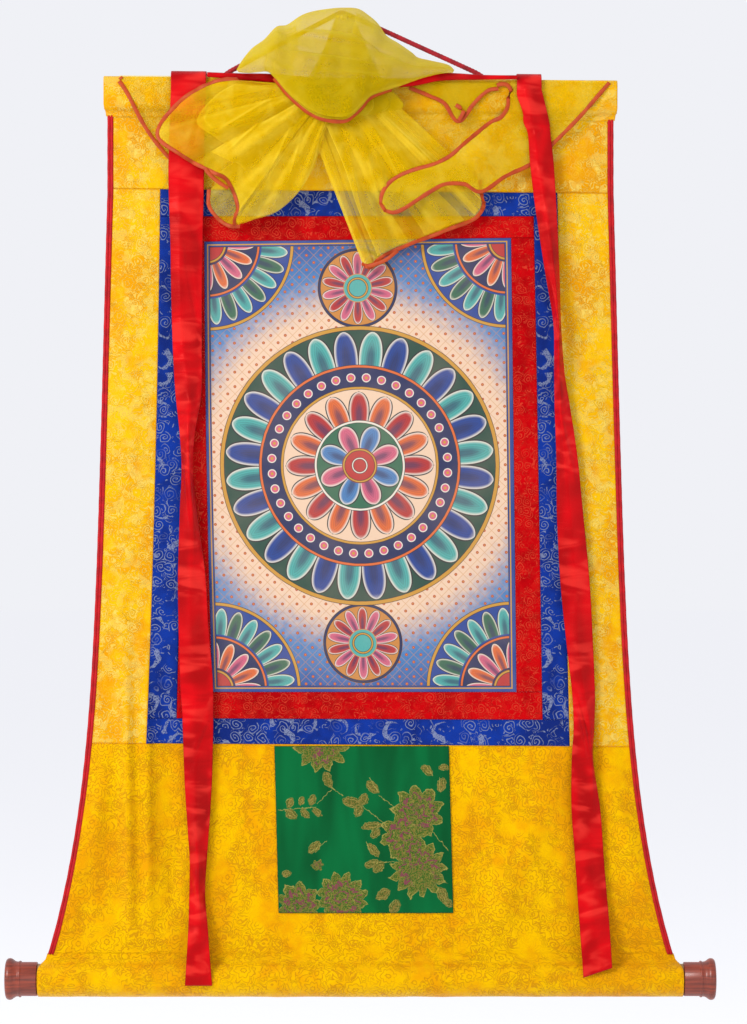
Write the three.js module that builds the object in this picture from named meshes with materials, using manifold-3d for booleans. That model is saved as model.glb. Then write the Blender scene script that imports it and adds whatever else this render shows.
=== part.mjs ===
// A hanging scroll painting in its brocade mount: painting, red and blue borders, yellow header, sides and foot,
// two satin ribbons, and a sheer veil gathered up over the hanging cord. Millimetres, +Z up, front towards -Y.
// The origin is the hanging point, where the cord lies over its hook.
import * as THREE from 'three';
import { mergeVertices } from 'three/addons/utils/BufferGeometryUtils.js';
import Module from 'manifold-3d';

const wasm = await Module();
wasm.setup();

// Driving sizes
const GAP = 0.3; // between pieces that touch
const CLOTH = 2.0; // pressed brocade with its backing
const SILK = 1.2; // veil
const SATIN = 1.5;
const CENTRE_X = 23.4; // the cloth hangs this far to the right of the hanging point
const WALL_Y = 6.5; // the wall's face, behind the cord

const BATTEN = { y: -13.5, z: -103.5, deep: 12, high: 34, half: 318, corner: 3 };
const BATTEN_EASE = 0.4; // between the batten and its sleeve
const HEAD_SLOPE = -0.0087; // the top hangs a little lower on the right
const BORDER_SLOPE = -0.0094;
const FOOT_SLOPE = -0.0065;
const HEAD_SEAM_Z = -128;
const HEAD_FLAP_Z = -135;
const HEAD_HALF = 321;

const TRIM_WIDE = 7;
const TRIM_BOTTOM_Z = -1177;
const BORDER_TOP_Z = -225;
const FOOT_TOP_Z = -917;
const FOOT_SEAM_Z = -1186;

const ROLL = { z: -1209.7, rod: 19, ease: 1.1, half: 403 };
const KNOB = { start: 403.5, shaft: 21.2, rim: 26 };
const ROLL_Y = WALL_Y - KNOB.rim;

// Small helpers
const mix = (a, b, t) => a + (b - a) * t;
const clamp = (t, low = 0, high = 1) => Math.min(Math.max(t, low), high);
const ease = (t) => clamp(t) ** 2 * (3 - 2 * clamp(t));
const count = (n) => Array.from({ length: n }, (_, i) => i);
const steps = (n, from = 0, to = 1) => count(n + 1).map((i) => mix(from, to, i / n));

// A smooth curve through a table's rows: row(t) gives every column at t, from 0 at the first row to 1 at the last.
function smooth(rows) {
  const last = rows.length - 1;
  const cubic = (a, b, c, d, t) =>
    b + 0.5 * t * (c - a + t * (2 * a - 5 * b + 4 * c - d + t * (3 * (b - c) + d - a)));
  return (t) => {
    const i = Math.min(Math.floor(clamp(t) * last), last - 1);
    const near = [-1, 0, 1, 2].map((k) => rows[clamp(i + k, 0, last)]);
    const row = {};
    for (const key of Object.keys(rows[0])) {
      row[key] = cubic(...near.map((r) => r[key]), clamp(t) * last - i);
    }
    return row;
  };
}

// Cloth surface
// Each fold is a soft ridge (rise above 0) or trough, that leans over as it goes down.
const FOLDS = [
  { x: -291, z: -1000, lean: 0.03, wide: 10, long: 190, rise: 6 },
  { x: -267, z: -990, lean: 0.02, wide: 9, long: 170, rise: 4 },
  { x: -346, z: -1060, lean: -0.25, wide: 16, long: 120, rise: 5 },
  { x: -236, z: -1050, lean: 0.1, wide: 24, long: 140, rise: -4 },
  { x: 196, z: -1070, lean: -0.4, wide: 22, long: 130, rise: 5 },
  { x: 338, z: -1050, lean: 0.22, wide: 18, long: 150, rise: 5 },
  { x: 0, z: -1110, lean: 0, wide: 130, long: 70, rise: 3 },
  { x: -288, z: -520, lean: -0.03, wide: 26, long: 280, rise: 3 },
  { x: 286, z: -600, lean: 0.03, wide: 28, long: 280, rise: 3 },
  { x: 10, z: -560, lean: 0, wide: 150, long: 220, rise: 3 },
];
const FOLD_FADE = 70; // folds die out over this height, above the roll and below the top sleeve

function foldRise(x, z) {
  const fade = ease((HEAD_FLAP_Z - z) / FOLD_FADE) * ease((z - FOOT_SEAM_Z) / FOLD_FADE);
  let rise = 0;
  for (const f of FOLDS) {
    const across = (x - f.x + f.lean * (z - f.z)) / f.wide;
    const along = (z - f.z) / f.long;
    rise += f.rise * Math.exp(-across * across - along * along);
  }
  return rise * fade;
}

// The middle of the cloth: a nearly straight fall from the batten to the roll, with its folds.
function clothY(x, z) {
  const down = clamp((HEAD_SEAM_Z - z) / (HEAD_SEAM_Z - FOOT_SEAM_Z));
  return mix(BATTEN.y, ROLL_Y - 1, down) - foldRise(x, z);
}

// Half the width of the whole cloth, trims included: it flares towards the roll.
function halfWidth(z) {
  const t = clamp((BORDER_TOP_Z - z) / 954, 0, 1);
  return 316.3 + 25 * t + 49 * t ** 5.5;
}
const brocadeHalf = (z) => halfWidth(z) - TRIM_WIDE - GAP;

// Seams of the panels. An upright one runs from its top x to its bottom x, with a bow in the middle.
const BORDER_BOTTOM_Z = -917;
const upright = (top, bottom, bow = 0) => (z) => {
  const t = clamp((BORDER_TOP_Z - z) / (BORDER_TOP_Z - BORDER_BOTTOM_Z));
  return mix(top, bottom, t) + bow * 4 * t * (1 - t);
};
const SEAM = {
  blueLeft: upright(-250.3, -267.2, 2.4),
  redLeft: upright(-219.5, -230.5, 2),
  paintLeft: upright(-195.6, -183, -3),
  paintRight: upright(187.6, 195.6, 0.3),
  redRight: upright(216.2, 228, 0.3),
  blueRight: upright(245.8, 261.4),
};
const level = (z, slope = 0) => (x) => z + slope * x;
const LEVEL = {
  borderTop: level(BORDER_TOP_Z, BORDER_SLOPE),
  redTop: level(-256.4),
  paintTop: level(-285.8, 0.012),
  paintBottom: level(-851.2),
  redBottom: level(-885, -0.004),
  borderBottom: level(BORDER_BOTTOM_Z, FOOT_SLOPE),
};

// Solids
// A closed sheet on a grid of points place(u, v), u to the right and v down, given its thickness along its own
// normal, or straight along Y where it is pressed flat against its neighbours.
function sheet({ across, down, thick, place, pressed = false }) {
  const wide = across.length;
  const high = down.length;
  const middle = down.flatMap((v) => across.map((u) => new THREE.Vector3(...place(u, v))));
  const at = (i, j) => middle[clamp(j, 0, high - 1) * wide + clamp(i, 0, wide - 1)];
  const half = (i, j) => {
    if (pressed) return new THREE.Vector3(0, -thick / 2, 0);
    const right = at(i + 1, j).clone().sub(at(i - 1, j));
    const below = at(i, j + 1).clone().sub(at(i, j - 1));
    return below.cross(right).setLength(thick / 2);
  };
  const points = [];
  for (const way of [1, -1]) {
    for (let j = 0; j < high; j++) {
      for (let i = 0; i < wide; i++) points.push(...at(i, j).clone().addScaledVector(half(i, j), way));
    }
  }
  const front = (i, j) => j * wide + i;
  const back = (k) => k + wide * high;
  const faces = [];
  for (let j = 0; j + 1 < high; j++) {
    for (let i = 0; i + 1 < wide; i++) {
      const [a, b, c, d] = [front(i, j), front(i + 1, j), front(i + 1, j + 1), front(i, j + 1)];
      faces.push(a, d, c, a, c, b, back(a), back(c), back(d), back(a), back(b), back(c));
    }
  }
  const rows = count(high - 1);
  const columns = count(wide - 1);
  const rim = [
    ...rows.map((j) => front(0, j)),
    ...columns.map((i) => front(i, high - 1)),
    ...rows.map((j) => front(wide - 1, high - 1 - j)),
    ...columns.map((i) => front(wide - 1 - i, 0)),
    front(0, 0),
  ];
  for (let k = 0; k + 1 < rim.length; k++) {
    const [p, q] = [rim[k], rim[k + 1]];
    faces.push(q, p, back(p), q, back(p), back(q));
  }
  return solid(points, faces);
}

function solid(points, faces) {
  const geometry = new THREE.BufferGeometry();
  geometry.setAttribute('position', new THREE.Float32BufferAttribute(points, 3));
  geometry.setIndex(faces);
  geometry.computeVertexNormals();
  return geometry;
}

// A flat pressed piece between two upright seams and two level ones, half a gap inside each.
function panel({ left, right, top, bottom, columns, rows }) {
  return sheet({
    across: steps(columns),
    down: steps(rows),
    thick: CLOTH,
    pressed: true,
    place(u, v) {
      const guess = mix(top(0), bottom(0), v);
      const near = mix(left(guess), right(guess), u);
      const z = mix(top(near) - GAP / 2, bottom(near) + GAP / 2, v);
      const x = mix(left(z) + GAP / 2, right(z) - GAP / 2, u);
      return [x, clothY(x, z), z];
    },
  });
}

// Turned sleeves. A path of {y, z, half} rows is carried across the cloth's width. A row with no y lies on the cloth.
function alongPath(path, columns, tilt) {
  return sheet({
    across: steps(columns, -1, 1),
    down: steps(path.length - 1),
    thick: CLOTH,
    place(u, v) {
      const row = path[Math.round(v * (path.length - 1))];
      const z = row.z + tilt(row.z, u * row.half);
      if (row.y !== undefined) return [u * row.half, row.y, z];
      const x = u * brocadeHalf(z);
      return [x, clothY(x, z), z];
    },
  });
}

// Over the batten's top from behind to in front, `off` away from the wood.
function overBatten(off, turnSteps = 3) {
  const { y, z, deep, high, corner } = BATTEN;
  const turn = (side, from, to) =>
    steps(turnSteps, from, to).map((a) => ({
      y: y - side * (deep / 2 - corner) - (corner + off) * Math.sin(a),
      z: z + high / 2 - corner + (corner + off) * Math.cos(a),
    }));
  return [...turn(-1, -Math.PI / 2, 0), ...turn(1, 0, Math.PI / 2)];
}

// The header goes up behind the batten, over it and down in front, and is stitched below it.
function headerPath() {
  const off = BATTEN_EASE + CLOTH / 2;
  const out = BATTEN.deep / 2 + off;
  const low = BATTEN.z - BATTEN.high / 2;
  return [
    { y: BATTEN.y + CLOTH + GAP, z: HEAD_SEAM_Z + 3 },
    { y: BATTEN.y + out, z: low + 1 },
    ...overBatten(off),
    { y: BATTEN.y - out, z: low + 1 },
    { y: BATTEN.y, z: HEAD_SEAM_Z, half: HEAD_HALF - 2 },
    { y: BATTEN.y, z: HEAD_FLAP_Z + 0.8, half: HEAD_HALF - 3 },
    ...steps(4, HEAD_FLAP_Z, BORDER_TOP_Z + GAP / 2).map((z) => ({ z, half: brocadeHalf(z) })),
  ].map((row) => ({ half: HEAD_HALF, ...row }));
}
// The top's slope, and the border's slope at the header's lower edge.
const headTilt = (z, x) => x * (z > HEAD_FLAP_Z ? HEAD_SLOPE : BORDER_SLOPE);

// The foot comes down to its stitched line, goes round the rod, and ends behind the line.
function footPath() {
  const radius = ROLL.rod + ROLL.ease + CLOTH / 2;
  const lead = Math.acos(radius / (FOOT_SEAM_Z - ROLL.z));
  const round = steps(15, lead, 2 * Math.PI - lead).map((a) => ({
    y: ROLL_Y - radius * Math.sin(a),
    z: ROLL.z + radius * Math.cos(a),
    half: ROLL.half - 0.5 - 7 * Math.max(0, Math.cos(a)) ** 6,
  }));
  return [
    ...steps(9, FOOT_TOP_Z - GAP / 2, TRIM_BOTTOM_Z + 0.6).map((z) => ({ z, half: brocadeHalf(z) })),
    { y: ROLL_Y - 1, z: TRIM_BOTTOM_Z - 0.6, half: 391 },
    { y: ROLL_Y - 1, z: FOOT_SEAM_Z, half: 394 },
    ...round,
    { y: ROLL_Y + CLOTH + GAP - 1, z: FOOT_SEAM_Z - 1, half: 394 },
  ];
}
const footTilt = (z, x) => x * FOOT_SLOPE * ease((z - TRIM_BOTTOM_Z) / 150);

// The trim is a flat double cord along the cloth's side edge.
function trim(side) {
  const down = steps(34, HEAD_FLAP_Z - 1, TRIM_BOTTOM_Z + 1);
  return sheet({
    across: side < 0 ? [-1, -0.5, 0] : [0, 0.5, 1],
    down: steps(34),
    thick: CLOTH + 1,
    pressed: true,
    place(u, v) {
      const z = down[Math.round(v * 34)] + headTilt(-200, side * 310) * (1 - v);
      const x = side * (halfWidth(z) - TRIM_WIDE) + u * TRIM_WIDE;
      return [x, clothY(x, z), z];
    },
  });
}

// The green patch lies on the foot, just below its top seam.
const DOOR = { left: -107.6, right: 110.5, drift: 5.5, top: -918.5, bottom: -1126.8, thick: 1.2 };
function door() {
  return sheet({
    across: steps(6),
    down: steps(8),
    thick: DOOR.thick,
    pressed: true,
    place(u, v) {
      const z = mix(DOOR.top, DOOR.bottom, v);
      const x = mix(DOOR.left, DOOR.right, u) + DOOR.drift * v;
      return [x, clothY(x, z) - CLOTH / 2 - GAP - DOOR.thick / 2 - 0.1, z];
    },
  });
}

// Ribbons. They lie over the veil's back layer on the sleeve, fall plumb, and rest on the roll.
// `curl` is how far the middle of the ribbon stands out where it folds lengthwise.
const RIBBON_OFF = BATTEN_EASE + CLOTH + SILK + SATIN / 2 + 4.5; // from the batten's wood
const RIBBON_OUT = BATTEN.deep / 2 + RIBBON_OFF - BATTEN.y;
const OVER_SLEEVE = [
  { y: BATTEN.y + BATTEN.deep / 2 + BATTEN_EASE + CLOTH + SATIN, z: -150 },
  { y: BATTEN.y + BATTEN.deep / 2 + BATTEN_EASE + CLOTH + SATIN, z: BATTEN.z + 12 },
  ...overBatten(RIBBON_OFF, 2).slice(1),
];
const RIBBON_LEFT = [
  { z: -100, left: -236.5, right: -192.3, curl: 0 },
  { z: -160, left: -238.5, right: -194, curl: 0 },
  { z: -212, left: -239.5, right: -195, curl: 1 },
  { z: -286, left: -237, right: -196.5, curl: 4 },
  { z: -350, left: -236, right: -197.4, curl: 6 },
  { z: -420, left: -234, right: -197.6, curl: 6 },
  { z: -480, left: -230.5, right: -198.5, curl: 8 },
  { z: -530, left: -225, right: -207, curl: 14 },
  { z: -575, left: -222.7, right: -209, curl: 16 },
  { z: -624, left: -225, right: -204.5, curl: 13 },
  { z: -702, left: -227.4, right: -193.5, curl: 7 },
  { z: -762, left: -227, right: -189.8, curl: 4 },
  { z: -838, left: -225, right: -184, curl: 3 },
  { z: -884, left: -222, right: -183.4, curl: 4 },
  { z: -960, left: -219.4, right: -185, curl: 6 },
  { z: -1020, left: -215.5, right: -188.6, curl: 9 },
  { z: -1060, left: -212.8, right: -191.6, curl: 11 },
  { z: -1102, left: -213.2, right: -193.7, curl: 10 },
  { z: -1149, left: -214.4, right: -189.5, curl: 5 },
  { z: -1215, left: -218, right: -184, curl: 0 },
];
const RIBBON_RIGHT = [
  { z: -100, left: 208, right: 226, curl: 9 },
  { z: -136, left: 202.8, right: 234.8, curl: 7 },
  { z: -156, left: 208.8, right: 237.2, curl: 7 },
  { z: -196, left: 211.8, right: 241.4, curl: 6 },
  { z: -256, left: 219.3, right: 244.8, curl: 8 },
  { z: -331, left: 231, right: 248, curl: 11 },
  { z: -391, left: 241, right: 249.6, curl: 13 },
  { z: -451, left: 241.8, right: 254, curl: 12 },
  { z: -496, left: 242.3, right: 261.4, curl: 10 },
  { z: -556, left: 244.2, right: 270.4, curl: 8 },
  { z: -631, left: 245, right: 278, curl: 6 },
  { z: -716, left: 249.4, right: 286, curl: 4 },
  { z: -791, left: 257, right: 290, curl: 4 },
  { z: -851, left: 263.8, right: 292.3, curl: 6 },
  { z: -896, left: 265.7, right: 291.4, curl: 8 },
  { z: -936, left: 263.4, right: 290, curl: 8 },
  { z: -996, left: 263, right: 299, curl: 4 },
  { z: -1056, left: 267.4, right: 303.4, curl: 3 },
  { z: -1131, left: 272, right: 309, curl: 2 },
  { z: -1205, left: 277, right: 313, curl: 0 },
];
const ROLL_FRONT = ROLL.rod + ROLL.ease + CLOTH;

// How far out a ribbon hangs at height z: plumb from the sleeve, clear of the cloth, then over the roll.
function ribbonOut(x, z) {
  const resting = Math.max(RIBBON_OUT, 2 + CLOTH / 2 + SATIN / 2 - clothY(x, z));
  const onRoll = ROLL_FRONT - ROLL_Y + SATIN / 2 + 1.5;
  return mix(resting, onRoll, ease((-1085 - z) / 115));
}

function ribbon(rows, slant) {
  const row = smooth(rows);
  const head = rows[0];
  const down = [...OVER_SLEEVE.map((_, i) => i - OVER_SLEEVE.length), ...steps(36)];
  return sheet({
    across: steps(4),
    down,
    thick: SATIN,
    place(u, v) {
      const arch = Math.sin(Math.PI * u);
      if (v < 0) {
        const over = OVER_SLEEVE[v + OVER_SLEEVE.length];
        const x = mix(head.left, head.right, u);
        return [x, over.y, over.z + HEAD_SLOPE * x];
      }
      const r = row(v);
      const x = mix(r.left, r.right, u);
      const z = r.z + slant * u * ease((v - 0.9) / 0.1);
      return [x, -ribbonOut(x, z) - r.curl * arch, z];
    },
  });
}

// The satin band lies across the sleeve's top, behind the gathered veil.
const BAND = [
  { x: -191, z: -81, wide: 6 },
  { x: -150, z: -83.5, wide: 8 },
  { x: -105, z: -86, wide: 11 },
  { x: -25, z: -93, wide: 12 },
  { x: 60, z: -91, wide: 10 },
  { x: 99, z: -84, wide: 10 },
  { x: 154, z: -84.5, wide: 6 },
  { x: 196, z: -84.5, wide: 5 },
];
const BAND_OUT = RIBBON_OUT + 1.5;
function satinBand() {
  const row = smooth(BAND);
  return sheet({
    across: steps(28),
    down: steps(2),
    thick: SATIN,
    place(u, v) {
      const r = row(u);
      return [r.x, -BAND_OUT, r.z + r.wide * (0.5 - v)];
    },
  });
}

// The veil. Each leaf is a fan of rays from its gathered root to its hem, one row for each ray. `out` is how far
// in front of the cord's plane the hem lies, and `belly` how far the middle of a ray swells beyond that.
const BACK_OFF = BATTEN_EASE + CLOTH + 0.5 + SILK / 2; // from the batten's wood
const BACK_OUT = BATTEN.deep / 2 + BACK_OFF - BATTEN.y;
const VEIL_BACK = [
  { x: -302, hem: -90, out: 0 },
  { x: -290, hem: -101, out: 0 },
  { x: -269, hem: -141, out: 0 },
  { x: -250, hem: -168, out: 0 },
  { x: -225, hem: -195, out: -0.4 },
  { x: -197, hem: -218, out: -0.6 },
  { x: -150, hem: -221, out: -0.6 },
  { x: -95, hem: -208, out: -0.4 },
  { x: -57, hem: -190, out: 0 },
  { x: 0, hem: -192, out: 0 },
  { x: 60, hem: -190, out: 0 },
  { x: 112, hem: -176, out: 0 },
  { x: 150, hem: -148, out: 0 },
  { x: 180, hem: -122, out: 0 },
  { x: 203, hem: -104, out: 0 },
];
const VEIL_LEFT = [
  { x: -123, z: -81.5, out: 36, belly: 1 },
  { x: -172, z: -84, out: 37, belly: 3 },
  { x: -211, z: -106, out: 37, belly: 5 },
  { x: -241, z: -136, out: 37, belly: 8 },
  { x: -250, z: -159, out: 36, belly: 10 },
  { x: -223, z: -180, out: 39, belly: 10 },
  { x: -204, z: -191, out: 37, belly: 10 },
  { x: -181, z: -203, out: 41, belly: 10 },
  { x: -163, z: -214, out: 37, belly: 10 },
  { x: -151, z: -245, out: 39, belly: 9 },
  { x: -154, z: -267, out: 36, belly: 8 },
  { x: -128, z: -261, out: 38, belly: 8 },
  { x: -106, z: -254, out: 34, belly: 8 },
  { x: -78, z: -230, out: 37, belly: 7 },
  { x: -57, z: -197, out: 38, belly: 5 },
];
const VEIL_UNDER = [
  { x: -187, z: -224, out: 27, belly: 4 },
  { x: -187, z: -243, out: 27, belly: 5 },
  { x: -178, z: -257, out: 28, belly: 6 },
  { x: -164, z: -267, out: 27, belly: 6 },
  { x: -150, z: -268, out: 27, belly: 6 },
];
const VEIL_RIGHT = [
  { x: 2, z: -315, out: 27, belly: 5 },
  { x: 12, z: -319, out: 29, belly: 6 },
  { x: 21, z: -310, out: 27, belly: 7 },
  { x: 38, z: -300, out: 25, belly: 8 },
  { x: 62, z: -290, out: 28, belly: 8 },
  { x: 88, z: -280, out: 25, belly: 8 },
  { x: 112, z: -271, out: 28, belly: 8 },
  { x: 137, z: -261, out: 26, belly: 7 },
  { x: 148, z: -252, out: 27, belly: 6 },
  { x: 152, z: -241, out: 28, belly: 5 },
  { x: 149, z: -231, out: 29, belly: 4 },
  { x: 147, z: -212, out: 30, belly: 3 },
];
// The swag that turns back over the right leaf: its inner and its outer edge.
const VEIL_SWAG = [
  { inX: 189, inZ: -86, outX: 309, outZ: -89, out: 23 },
  { inX: 186, inZ: -99, outX: 291, outZ: -110, out: 24.6 },
  { inX: 186, inZ: -120, outX: 270, outZ: -134, out: 25.6 },
  { inX: 177, inZ: -135, outX: 240, outZ: -164, out: 25 },
  { inX: 163, inZ: -142, outX: 212, outZ: -190, out: 25 },
  { inX: 146, inZ: -156, outX: 180, outZ: -206, out: 31 },
  { inX: 129, inZ: -171, outX: 150, outZ: -226, out: 41 },
  { inX: 112, inZ: -186, outX: 130, outZ: -217, out: 44 },
  { inX: 92, inZ: -196, outX: 105, outZ: -217, out: 46 },
  { inX: 71, inZ: -202, outX: 87, outZ: -226, out: 46 },
  { inX: 52, inZ: -209, outX: 71, outZ: -236, out: 45 },
  { inX: 37, inZ: -219, outX: 54, outZ: -247, out: 44 },
  { inX: 29, inZ: -231, outX: 42, outZ: -252, out: 43 },
  { inX: 27, inZ: -242, outX: 32, outZ: -250, out: 42 },
];
const VEIL_CORNER = [
  { x: 62, hem: -95, out: 25.4 },
  { x: 84, hem: -104, out: 25.6 },
  { x: 106, hem: -115, out: 26 },
  { x: 122, hem: -137, out: 27 },
  { x: 138, hem: -118, out: 26.5 },
  { x: 149, hem: -106, out: 26 },
  { x: 160, hem: -98, out: 25.6 },
  { x: 172, hem: -96, out: 25.4 },
];
// The puff falls forward over the cord: its upper outline and its hem.
const VEIL_PUFF = [
  { x: -154, z: -76.5, out: 41, hemX: -151, hemZ: -80, hemOut: 43 },
  { x: -147, z: -62.5, out: 30, hemX: -138, hemZ: -81, hemOut: 43 },
  { x: -135.5, z: -47, out: 20, hemX: -126, hemZ: -80, hemOut: 43.5 },
  { x: -120.5, z: -35, out: 14, hemX: -115, hemZ: -80, hemOut: 44 },
  { x: -105.5, z: -19, out: 11, hemX: -106, hemZ: -88, hemOut: 46 },
  { x: -92, z: -16, out: 9, hemX: -91, hemZ: -106, hemOut: 48 },
  { x: -75.5, z: -4.5, out: 5.5, hemX: -75, hemZ: -121, hemOut: 50 },
  { x: -60, z: 2, out: 0, hemX: -60, hemZ: -132, hemOut: 51 },
  { x: -37, z: 6, out: -2.5, hemX: -45, hemZ: -138, hemOut: 52 },
  { x: -20, z: 7, out: -2.5, hemX: -29, hemZ: -140, hemOut: 52 },
  { x: -3, z: 5.5, out: -1.5, hemX: -17, hemZ: -139, hemOut: 52 },
  { x: 10.5, z: -3.5, out: 3, hemX: -7, hemZ: -132, hemOut: 51 },
  { x: 22, z: -14.5, out: 8, hemX: 2, hemZ: -123, hemOut: 52 },
  { x: 33, z: -30, out: 9, hemX: 13, hemZ: -111, hemOut: 51 },
  { x: 47, z: -39, out: 10, hemX: 30, hemZ: -104, hemOut: 48 },
  { x: 64, z: -51, out: 12, hemX: 47, hemZ: -98, hemOut: 42 },
  { x: 72, z: -58, out: 16, hemX: 62, hemZ: -92, hemOut: 39 },
  { x: 87, z: -62, out: 19, hemX: 79, hemZ: -86, hemOut: 37 },
  { x: 109, z: -68, out: 25, hemX: 99, hemZ: -81, hemOut: 36 },
  { x: 117, z: -76, out: 33, hemX: 115, hemZ: -79.5, hemOut: 35 },
];
const PUFF_SWELL = 26;
// The bundle where the veil is drawn together, from under the cord down to the leaves' roots.
const VEIL_BUNDLE = [
  { z: -6, out: 15, wide: 9, deep: 4 },
  { z: -28, out: 20, wide: 17, deep: 8 },
  { z: -62, out: 34, wide: 30, deep: 7 },
  { z: -94, out: 38.5, wide: 46, deep: 6 },
  { z: -121, out: 36.5, wide: 62, deep: 9 },
  { z: -136, out: 30, wide: 40, deep: 7.3 },
];

const fan = (rows, root) => {
  const row = smooth(rows);
  return (u, v) => {
    const r = row(u);
    const from = { x: mix(root.x[0], root.x[1], u), z: mix(root.z[0], root.z[1], u) };
    const swell = r.belly * 4 * v * (1 - v);
    return [mix(from.x, r.x, v), -mix(root.out, r.out, v) - swell, mix(from.z, r.z, v)];
  };
};
const LEAVES = {
  back: {
    across: steps(24),
    down: [-3, -2, -1, 0, 0.35, 0.7, 1],
    place(u, v) {
      const r = smooth(VEIL_BACK)(u);
      const top = overBatten(BACK_OFF, 3).slice(4);
      if (v <= 0) return [r.x, top[v + 3].y, top[v + 3].z + HEAD_SLOPE * r.x];
      return [r.x, -BACK_OUT - r.out * v, mix(top[3].z + HEAD_SLOPE * r.x, r.hem, v)];
    },
  },
  left: {
    across: steps(28),
    down: steps(5),
    place: fan(VEIL_LEFT, { x: [-80, -36], z: [-93, -127], out: 36 }),
  },
  under: {
    across: steps(8),
    down: steps(4),
    place: fan(VEIL_UNDER, { x: [-78, -55], z: [-110, -120], out: 31 }),
  },
  right: {
    across: steps(22),
    down: steps(6),
    place: fan(VEIL_RIGHT, { x: [-72, 38], z: [-126, -112], out: 34 }),
  },
  swag: {
    across: steps(3),
    down: steps(26),
    place(u, v) {
      const r = smooth(VEIL_SWAG)(v);
      return [mix(r.inX, r.outX, u), -r.out, mix(r.inZ, r.outZ, u)];
    },
  },
  corner: {
    across: steps(14),
    down: steps(2),
    place(u, v) {
      const r = smooth(VEIL_CORNER)(u);
      return [r.x, -mix(23.3, r.out, v), mix(-89, r.hem, v)];
    },
  },
  puff: {
    across: steps(34),
    down: steps(6),
    place(u, v) {
      const r = smooth(VEIL_PUFF)(u);
      const swell = PUFF_SWELL * Math.sin(Math.PI * u) ** 0.8 * Math.sin(Math.PI * v) ** 0.7;
      return [mix(r.x, r.hemX, v), -mix(r.out, r.hemOut, v ** 0.8) - swell, mix(r.z, r.hemZ, v)];
    },
  },
};

// Rings of an oval section from the bundle's tip down to its foot, closed at both ends.
function bundle(rows, sides) {
  const row = smooth(rows);
  const rings = steps(10).map((t) => row(t));
  const points = [];
  for (const r of rings) {
    for (let k = 0; k < sides; k++) {
      const a = (k / sides) * 2 * Math.PI;
      points.push(r.wide * Math.cos(a) - 20, -r.out - r.deep * Math.sin(a), r.z);
    }
  }
  const faces = [];
  for (let j = 0; j + 1 < rings.length; j++) {
    for (let k = 0; k < sides; k++) {
      const [a, b] = [j * sides + k, j * sides + ((k + 1) % sides)];
      faces.push(a, b, b + sides, a, b + sides, a + sides);
    }
  }
  const last = (rings.length - 1) * sides;
  for (let k = 1; k + 1 < sides; k++) faces.push(0, k + 1, k, last, last + k, last + k + 1);
  return solid(points, faces);
}

// Three.js geometry to a manifold-3d solid and back
function toManifold(geometry) {
  const bare = geometry.clone();
  for (const name of ['normal', 'uv']) bare.deleteAttribute(name);
  const merged = mergeVertices(bare, 1e-4);
  return new wasm.Manifold(
    new wasm.Mesh({
      numProp: 3,
      vertProperties: new Float32Array(merged.attributes.position.array),
      triVerts: new Uint32Array(merged.index.array),
    }),
  );
}

function fromManifold(body) {
  const mesh = body.getMesh();
  return solid(Array.from(mesh.vertProperties), Array.from(mesh.triVerts));
}

function veil() {
  let body = toManifold(bundle(VEIL_BUNDLE, 16));
  for (const leaf of Object.values(LEAVES)) body = body.add(toManifold(sheet({ ...leaf, thick: SILK })));
  return fromManifold(body);
}

// A bias binding: a strip that carries on past a leaf's edge. `edge(t)` gives the edge from t = 0 to 1 and
// `inner(t)` a point a little inside it.
const BINDING = { wide: 5, thick: 1.6 };
function binding(edge, inner, count) {
  const turn = (t) => {
    const at = new THREE.Vector3(...edge(t));
    const along = new THREE.Vector3(...edge(Math.min(t + 0.01, 1)));
    along.sub(new THREE.Vector3(...edge(Math.max(t - 0.01, 0)))).normalize();
    const away = at.clone().sub(new THREE.Vector3(...inner(t)));
    return { at, away: away.addScaledVector(along, -away.dot(along)).normalize() };
  };
  return sheet({
    across: steps(count),
    down: steps(1),
    thick: BINDING.thick,
    place(u, v) {
      const { at, away } = turn(u);
      return at.addScaledVector(away, GAP + BINDING.wide * v).toArray();
    },
  });
}
// Along a leaf's hem, from one of its grid columns to another.
function hemBinding(name, first = 0, last = LEAVES[name].across.length - 1) {
  const columns = LEAVES[name].across.length - 1;
  const point = (t, v) => LEAVES[name].place(mix(first, last, t) / columns, v);
  return binding((t) => point(t, 1), (t) => point(t, 0.94), last - first);
}
// The swag's binding goes down one edge, across the tip and up the other edge. It starts three rows below the
// swag's top.
function swagBinding() {
  const rows = LEAVES.swag.down.length - 1;
  const bound = rows - 3;
  const stations = 2 * bound + 1;
  const at = (t) => {
    const k = t * stations;
    return { u: clamp(k - bound), v: 1 - Math.max(Math.abs(k - stations / 2) - 0.5, 0) / rows };
  };
  const edge = (t) => LEAVES.swag.place(at(t).u, at(t).v);
  const inner = (t) => LEAVES.swag.place(0.5, at(t).v - 1 / rows);
  return binding(edge, inner, stations);
}

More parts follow.
